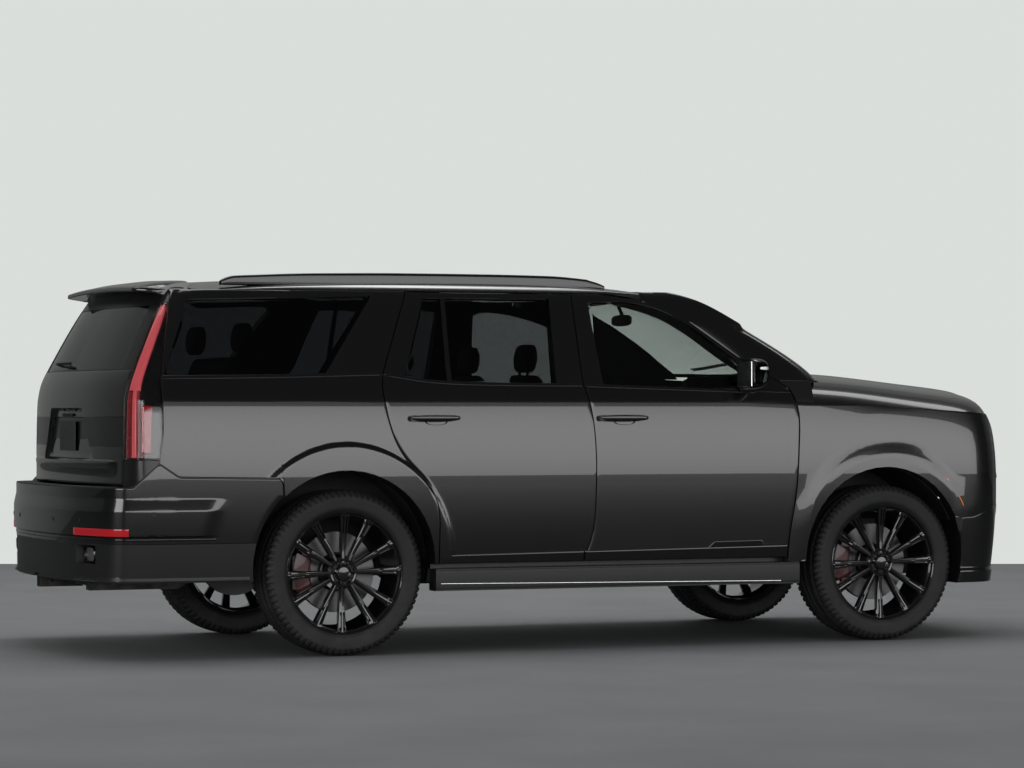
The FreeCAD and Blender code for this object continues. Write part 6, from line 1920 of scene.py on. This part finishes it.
def mesh_part(mesh):
    """The points and quads of a mesh of quads and triangles."""
    points = np.empty(3 * len(mesh.vertices))
    mesh.vertices.foreach_get("co", points)
    corners = np.empty(len(mesh.loops), int)
    mesh.loops.foreach_get("vertex_index", corners)
    starts = np.empty(len(mesh.polygons), int)
    totals = np.empty(len(mesh.polygons), int)
    mesh.polygons.foreach_get("loop_start", starts)
    mesh.polygons.foreach_get("loop_total", totals)
    faces = corners[np.minimum(starts[:, None] + np.arange(4), (starts + np.minimum(totals, 4) - 1)[:, None])]
    return points.reshape(-1, 3), faces


def evaluated(thing):
    """An object's mesh part after its modifiers."""
    graph = bpy.context.evaluated_depsgraph_get()
    return mesh_part(bpy.data.meshes.new_from_object(thing.evaluated_get(graph)))


def puffed(part, voxel=0.028, cap=0.014, frames=20):
    """A form remeshed in voxels, then blown up a little as cloth under pressure, with its travel capped."""
    points, faces = part
    mesh = bpy.data.meshes.new("pad")
    loops = [tuple(face[:3]) if face[2] == face[3] else tuple(face) for face in faces.tolist()]
    mesh.from_pydata(points.tolist(), [], loops)
    pad = bpy.data.objects.new("pad", mesh)
    bpy.context.scene.collection.objects.link(pad)
    remesh = pad.modifiers.new("remesh", "REMESH")
    remesh.mode, remesh.voxel_size = "VOXEL", voxel
    rest, quads = evaluated(pad)
    made = rest
    cloth = pad.modifiers.new("cloth", "CLOTH").settings
    cloth.use_pressure, cloth.uniform_pressure_force = True, 4.0
    cloth.effector_weights.gravity = 0.0
    pad.modifiers["cloth"].point_cache.frame_end = frames
    for frame_number in range(1, frames + 1):
        bpy.context.scene.frame_set(frame_number)
    made = evaluated(pad)[0]
    bpy.context.scene.frame_set(1)
    bpy.data.objects.remove(pad)
    travel = made - rest
    length = np.linalg.norm(travel, axis=1, keepdims=True)
    return rest + travel * np.minimum(1, cap / np.maximum(length, 1e-9)), quads


def channels(part, axis, places, deep=0.005, wide=0.011):
    """Sewn channels: points near each place along an axis sink towards the pad's middle plane."""
    points = part[0].copy()
    middle = points.mean(axis=0)
    for place in places:
        pull = deep * np.exp(-((points[:, axis] - place) / wide) ** 2)[:, None]
        points -= pull * unit(points - middle)
    return points, part[1]


def seat_forms(x, half, low, cushion_top, back_top):
    """A seat's cushion, backrest and head restraint as plain rounded forms, from its front edge."""
    lean = 0.2 * (back_top - cushion_top)
    s = np.linspace(0, 1, 40)
    thick = (cushion_top - low) * 0.33
    cushion = bar_part(np.column_stack([x - 0.514 + 0.508 * s, 0 * s,
                                        cushion_top - thick - 0.012 + 0.008 * s]),
                       (half - 0.012) * swollen(0.02 + 0.96 * s, 0.12),
                       thick * swollen(0.03 + 0.94 * s, 0.28), 4.5)
    bolster = 0.016 * ease(abs(cushion[0][:, 1]), half * 0.58, half * 0.86)
    cushion[0][:, 2] += bolster * (cushion[0][:, 2] > cushion_top - thick) - 0.012
    height = back_top - cushion_top + 0.105
    back = bar_part(np.column_stack([cushion_top - 0.100 + height * s, 0 * s,
                                     x - 0.466 - (lean - 0.012) * s]),
                    (half - 0.014) * (1 - 0.16 * s ** 3) * swollen(0.02 + 0.96 * s, 0.10),
                    (0.056 - 0.010 * s) * swollen(0.03 + 0.94 * s, 0.22), 4.5)
    wings = 0.014 * ease(abs(back[0][:, 1]), half * 0.58, half * 0.84)
    back[0][:, 2] += wings * (back[0][:, 2] > back[0][:, 2].mean())
    back = (back[0][:, [2, 1, 0]], back[1])
    rest = bar_part(np.column_stack([back_top + 0.006 + 0.150 * s, 0 * s, x - 0.455 - lean + 0.012 * s]),
                    0.122 * swollen(0.05 + 0.90 * s, 0.22), 0.036 * swollen(0.04 + 0.92 * s, 0.3), 3.4)
    rest = (rest[0][:, [2, 1, 0]], rest[1])
    return cushion, back, rest


class VEHICLE_OT_seats(bpy.types.Operator):
    """Two rows of single seats and a rear bench: padded leather over plinths, with sewn channels"""
    bl_idname = "vehicle.seats"
    bl_label = "Seats"

    def execute(self, context):
        finish = finishes()
        cushion, back, rest = seat_forms(0.0, 0.268, FLOOR_TOP, FLOOR_TOP + 0.330, FLOOR_TOP + 0.900)
        cushion = channels(puffed(cushion), 0, (-0.40, -0.31, -0.22, -0.13))
        back = channels(puffed(back), 2, np.linspace(FLOOR_TOP + 0.42, FLOOR_TOP + 0.78, 5))
        rest = puffed(rest, 0.018, 0.006)
        places = [np.array([x, y, 0]) for x in (front(-1.280), rear(1.080)) for y in (0.410, -0.410)]
        pieces = {"seat_cushions": cushion, "seat_backs": back, "head_restraints": rest}
        for name, part in pieces.items():
            piece = make(name, [(part[0] + place, part[1]) for place in places], finish["leather"], "body",
                         ("seats",) if name == "seat_cushions" else (), 60)
            smoother = piece.modifiers.new("round", "SUBSURF")
            smoother.levels = smoother.render_levels = 1
        stands = []
        for place in places:
            stands.append(box_part(place + [-0.470, -0.225, FLOOR_TOP + 0.0005],
                                   place + [-0.045, 0.225, FLOOR_TOP + 0.130], 0.02))
            for y in (-0.055, 0.055):
                stands.append(box_part(place + [-0.580, y - 0.006, FLOOR_TOP + 0.86],
                                       place + [-0.566, y + 0.006, FLOOR_TOP + 0.93], 0.002))
        make("seat_plinths", stands, finish["cabin"], "body")
        x = rear(0.180)
        forms = seat_forms(x, 0.588, LOAD_TOP, LOAD_TOP + 0.270, LOAD_TOP + 0.700)
        cushion = channels(puffed(forms[0]), 1, (-0.20, 0.20))
        back = channels(puffed(forms[1]), 1, (-0.20, 0.20))
        rests = [(rest[0] + [x, y, LOAD_TOP + 0.700 - FLOOR_TOP - 0.900], rest[1]) for y in (-0.40, 0.40)]
        rests = [(points + [0.2 * (0.570 - 0.430), 0, 0], faces) for points, faces in rests]
        for name, parts in (("bench_cushion", [cushion]), ("bench_back", [back]),
                            ("bench_restraints", rests)):
            piece = make(name, parts, finish["leather"], "body",
                         ("rear_bench",) if name == "bench_cushion" else (), 60)
            smoother = piece.modifiers.new("round", "SUBSURF")
            smoother.levels = smoother.render_levels = 1
        plinth = box_part((x - 0.50, -0.56, LOAD_TOP + 0.0005), (x - 0.03, 0.56, LOAD_TOP + 0.10), 0.02)
        make("bench_plinth", [plinth], finish["cabin"], "body")
        return {"FINISHED"}


class VEHICLE_OT_controls(bpy.types.Operator):
    """The steering wheel's grip and hub, the dashboard's screens and vents, and the inside mirror"""
    bl_idname = "vehicle.controls"
    bl_label = "Steering wheel and dashboard"

    def execute(self, context):
        finish = finishes()
        angle = np.linspace(0, 2 * np.pi, 96, endpoint=False)[:, None]
        ring = np.linspace(0, 2 * np.pi, 16, endpoint=False)[None]
        radius = 0.186 + 0.0165 * np.cos(ring)
        grip = np.stack([0.0165 * np.sin(ring) + 0 * angle, radius * np.cos(angle),
                         radius * np.sin(angle)], axis=-1)
        grip = (grip.reshape(-1, 3), grid_faces(96, 16, wrap_rows=True, wrap_cols=True))
        s = np.linspace(0, 1, 30)
        hub = bar_part(np.column_stack([-0.045 + 0.045 * s, 0 * s, -0.006 + 0 * s]),
                       0.072 * swollen(0.06 + 0.5 * s, 0.5), 0.064 * swollen(0.06 + 0.5 * s, 0.5), 2.8, 40)
        centre = np.array([front(-0.990), 0.410, 1.120])
        turn = math.radians(24)
        rim = turned((grip[0] + centre, grip[1]), turn, (0, 1, 0), centre)
        boss = turned((hub[0] + centre, hub[1]), turn, (0, 1, 0), centre)
        make("steering_grip", [rim], finish["leather"], "body")
        make("steering_boss", [boss], finish["cabin"], "body")
        low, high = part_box("dashboard")
        x = low[0]
        hood = bar_part(np.column_stack([np.linspace(x - 0.012, x + 0.20, 24), 0.41 + np.zeros(24),
                                         high[2] - 0.004 + 0.012 * swollen(np.linspace(0.05, 0.95, 24))]),
                        0.21, 0.020, 3.0)
        pad_y = np.linspace(-0.90, 0.90, 60)
        pad = bar_part(np.column_stack([pad_y, x + 0.030 + 0 * pad_y, high[2] - 0.040 + 0 * pad_y]),
                       0.046, 0.040, 3.0)
        pad = (pad[0][:, [1, 0, 2]], pad[1])
        make("dashboard_roll", [pad, hood], finish["leather"], "body")
        screens = [box_part((x - 0.020, y0, 1.120), (x - 0.010, y1, 1.255), 0.003)
                   for y0, y1 in ((0.24, 0.62), (-0.17, 0.215))]
        make("dashboard_screens", screens, finish["trim"], "body")
        vents = [box_part((x - 0.006, y - 0.055, z), (x + 0.012, y + 0.055, z + 0.005), 0.001)
                 for y in (-0.75, -0.40, 0.78) for z in np.arange(1.135, 1.20, 0.012)]
        make("dashboard_vents", vents, finish["satin"], "body")
        s = np.linspace(0, 1, 30)
        console = bar_part(np.column_stack([np.linspace(front(-1.75), x + 0.02, 30), 0 * s,
                                            FLOOR_TOP + 0.20 + 0.05 * s]), 0.115, 0.185, 6.0)
        make("centre_console", [console], finish["cabin"], "body")
        s = np.linspace(0, 1, 20)
        mirror = bar_part(np.column_stack([-0.118 + 0.236 * s, front(-1.095) + 0 * s, 1.735 + 0 * s]),
                          0.016 * swollen(0.03 + 0.94 * s, 0.3), 0.033 * swollen(0.03 + 0.94 * s, 0.25), 4.0)
        stem = bar_part(np.column_stack([1.765 + 0.075 * s, 0 * s, front(-1.090) - 0.045 * s]), 0.010,
                        0.010, 2.5, 12)
        make("inside_mirror", [(mirror[0][:, [1, 0, 2]], mirror[1]), (stem[0][:, [2, 1, 0]], stem[1])],
             finish["cabin"], "body")
        return {"FINISHED"}


# The studio


def soft_light(name, place, target, wide, high, watts, color=(1, 1, 1)):
    """A rectangular soft light, aimed at a point and hidden from the camera."""
    lamp = bpy.data.lights.new(name, "AREA")
    lamp.shape = "RECTANGLE"
    lamp.size, lamp.size_y = wide, high
    lamp.energy = watts
    lamp.color = color
    holder = bpy.data.objects.new(name, lamp)
    bpy.context.scene.collection.objects.link(holder)
    holder.location = place
    holder.rotation_euler = (Vector(target) - Vector(place)).to_track_quat("-Z", "Y").to_euler()
    holder.visible_camera = False
    return holder


def backdrop_material(name, seen, painted_reflection, glow):
    """A matt finish with a painted reflection: mirrors of it show a second colour, not its own; a backdrop
    that glows is seen, also through glass, at its own colour, while it lights nothing, and can't be seen from
    behind."""
    finish = bpy.data.materials.new(name)
    finish.use_nodes = True
    tree = finish.node_tree
    shader, output = tree.nodes["Principled BSDF"], tree.nodes["Material Output"]
    path = tree.nodes.new("ShaderNodeLightPath")
    place = tree.nodes.new("ShaderNodeTexCoord").outputs["Object"]
    spots = spanned(tree, noise(tree, place, 1.3, 8), 0.3, 0.7, 0.93, 1.06)
    shade = tree.nodes.new("ShaderNodeVectorMath")
    shade.operation = "SCALE"
    shade.inputs[0].default_value = seen
    tree.links.new(spots, shade.inputs["Scale"])
    # Painted reflection: glossy rays see the second colour instead of the backdrop's own colour
    mix = tree.nodes.new("ShaderNodeMix")
    mix.data_type = "RGBA"
    tree.links.new(shade.outputs[0], mix.inputs[6])
    mix.inputs[7].default_value = (*painted_reflection, 1)
    tree.links.new(path.outputs["Is Glossy Ray"], mix.inputs[0])
    tree.links.new(mix.outputs[2], shader.inputs["Base Color"])
    shader.inputs["Roughness"].default_value = 0.85
    shader.inputs["Specular IOR Level"].default_value = 0.2
    if glow:
        light = tree.nodes.new("ShaderNodeEmission")
        light.inputs["Color"].default_value = (*seen, 1)
        blend = tree.nodes.new("ShaderNodeMixShader")
        seen_straight = math_node(tree, "MAXIMUM", path.outputs["Is Camera Ray"],
                                  path.outputs["Is Transmission Ray"])
        tree.links.new(seen_straight, blend.inputs[0])
        tree.links.new(shader.outputs[0], blend.inputs[1])
        tree.links.new(light.outputs[0], blend.inputs[2])
        open_back = tree.nodes.new("ShaderNodeMixShader")
        tree.links.new(tree.nodes.new("ShaderNodeNewGeometry").outputs["Backfacing"], open_back.inputs[0])
        tree.links.new(blend.outputs[0], open_back.inputs[1])
        tree.links.new(tree.nodes.new("ShaderNodeBsdfTransparent").outputs[0], open_back.inputs[2])
        tree.links.new(open_back.outputs[0], output.inputs["Surface"])
    return finish


class VEHICLE_OT_studio(bpy.types.Operator):
    """A plain studio: concrete floor, pale wall square to the camera, soft lights and the camera"""
    bl_idname = "vehicle.studio"
    bl_label = "Studio"

    def execute(self, context):
        scene, studio = context.scene, context.scene.vehicle_studio
        yaw, pitch = math.radians(22.46), math.radians(0.41)
        place = Vector((REAR_AXLE - studio.behind, -studio.distance, studio.height))
        lens = bpy.data.cameras.new("camera")
        lens.lens, lens.sensor_width, lens.clip_end = studio.lens, 36.0, 200.0
        camera = bpy.data.objects.new("camera", lens)
        scene.collection.objects.link(camera)
        camera.location = place
        camera.rotation_euler = (math.pi / 2 + pitch, 0, -yaw)
        scene.camera = camera

        forward = Vector((math.sin(yaw), math.cos(yaw), 0))
        across = Vector((math.cos(yaw), -math.sin(yaw), 0))
        foot = Vector((0, 0, 0)) + forward * studio.wall
        floor_color, wall_color = (0.16, 0.163, 0.168), (0.70, 0.73, 0.71)
        corners = {"floor": [(-60, -60, 0), (60, -60, 0), (60, 60, 0), (-60, 60, 0)],
                   "wall": [tuple(foot + across * side + Vector((0, 0, high)))
                            for side, high in ((-45, 0), (45, 0), (45, 24), (-45, 24))]}
        # Painted reflections: mirrors of the floor show 0.045 grey instead of its 0.16, so the car's lower
        # flanks reflect darker; mirrors of the wall show 0.20 grey instead of its 0.70
        finishes_of = {"floor": backdrop_material("studio_floor", floor_color, (0.045, 0.046, 0.048), False),
                       "wall": backdrop_material("studio_wall", wall_color, (0.20, 0.205, 0.20), True)}
        for name, ring in corners.items():
            mesh = bpy.data.meshes.new(name)
            mesh.from_pydata(ring, [], [(0, 1, 2, 3)])
            sheet = bpy.data.objects.new(name, mesh)
            scene.collection.objects.link(sheet)
            mesh.materials.append(finishes_of[name])

        world = bpy.data.worlds.new("studio")
        world.use_nodes = True
        scene.world = world
        sky = world.node_tree.nodes["Background"]
        # Painted reflection: glossy rays see the sky as a dark 0.045 grey instead of the pale 0.62 grey that
        # lights the scene
        path = world.node_tree.nodes.new("ShaderNodeLightPath")
        mix = world.node_tree.nodes.new("ShaderNodeMix")
        mix.data_type = "RGBA"
        mix.inputs["A"].default_value = (0.62, 0.64, 0.63, 1)
        mix.inputs["B"].default_value = (0.045, 0.046, 0.048, 1)
        world.node_tree.links.new(path.outputs["Is Glossy Ray"], mix.inputs["Factor"])
        world.node_tree.links.new(mix.outputs["Result"], sky.inputs["Color"])
        sky.inputs["Strength"].default_value = 0.75

        soft_light("side_wall", (3.0, -19.5, 2.9), (3.0, 0, 2.9), 40, 5.0, 1500)
        soft_light("overhead", (-0.5, 0.5, 9.0), (0, 0, 0), 8, 4, 300)
        soft_light("tail_fill", (-14.0, -5.0, 3.2), (0, 0, 1.6), 8, 4.5, 420)
        soft_light("wall_wash", tuple(forward * 3 + Vector((0, 0, 12))), tuple(foot + Vector((0, 0, 3))),
                   24, 4, 900)
        scene.view_settings.view_transform = "Standard"
        return {"FINISHED"}


class VEHICLE_PT_panel(bpy.types.Panel):
    """The vehicle's pieces and settings"""
    bl_idname = "VEHICLE_PT_panel"
    bl_label = "Vehicle"
    bl_space_type = "VIEW_3D"
    bl_region_type = "UI"
    bl_category = "Vehicle"

    def draw(self, context):
        for settings in SETTINGS:
            holder = getattr(context.scene, settings)
            for name in SETTINGS[settings].__annotations__:
                self.layout.prop(holder, name)
        for piece in PIECES:
            self.layout.operator(piece.bl_idname)


SETTINGS = {"vehicle_look": VehicleLook, "vehicle_studio": VehicleStudio, "vehicle_sizes": VehicleSizes}
PIECES = (VEHICLE_OT_front_doors, VEHICLE_OT_rear_doors, VEHICLE_OT_quarter_panels, VEHICLE_OT_fenders,
          VEHICLE_OT_hood, VEHICLE_OT_roof, VEHICLE_OT_solid_finishes, VEHICLE_OT_wheels,
          VEHICLE_OT_tailgate, VEHICLE_OT_tail_lamps, VEHICLE_OT_rear_bumper, VEHICLE_OT_headlamps,
          VEHICLE_OT_grille, VEHICLE_OT_front_bumper, VEHICLE_OT_screen, VEHICLE_OT_side_trim,
          VEHICLE_OT_mirrors, VEHICLE_OT_spoiler, VEHICLE_OT_seats, VEHICLE_OT_controls,
          VEHICLE_OT_studio)


def register():
    """Adds the settings, the operators and the panel."""
    for kind in (*SETTINGS.values(), *PIECES, VEHICLE_PT_panel):
        bpy.utils.register_class(kind)
    for name, kind in SETTINGS.items():
        setattr(bpy.types.Scene, name, bpy.props.PointerProperty(type=kind))


def unregister():
    """Takes away what register added."""
    for name in SETTINGS:
        delattr(bpy.types.Scene, name)
    for kind in (VEHICLE_PT_panel, *reversed(PIECES), *reversed(SETTINGS.values())):
        bpy.utils.unregister_class(kind)


def main():
    """Makes every piece and the studio."""
    register()
    for piece in PIECES:
        getattr(bpy.ops.vehicle, piece.bl_idname.split(".")[1])()


if __name__ == "__main__":
    main()
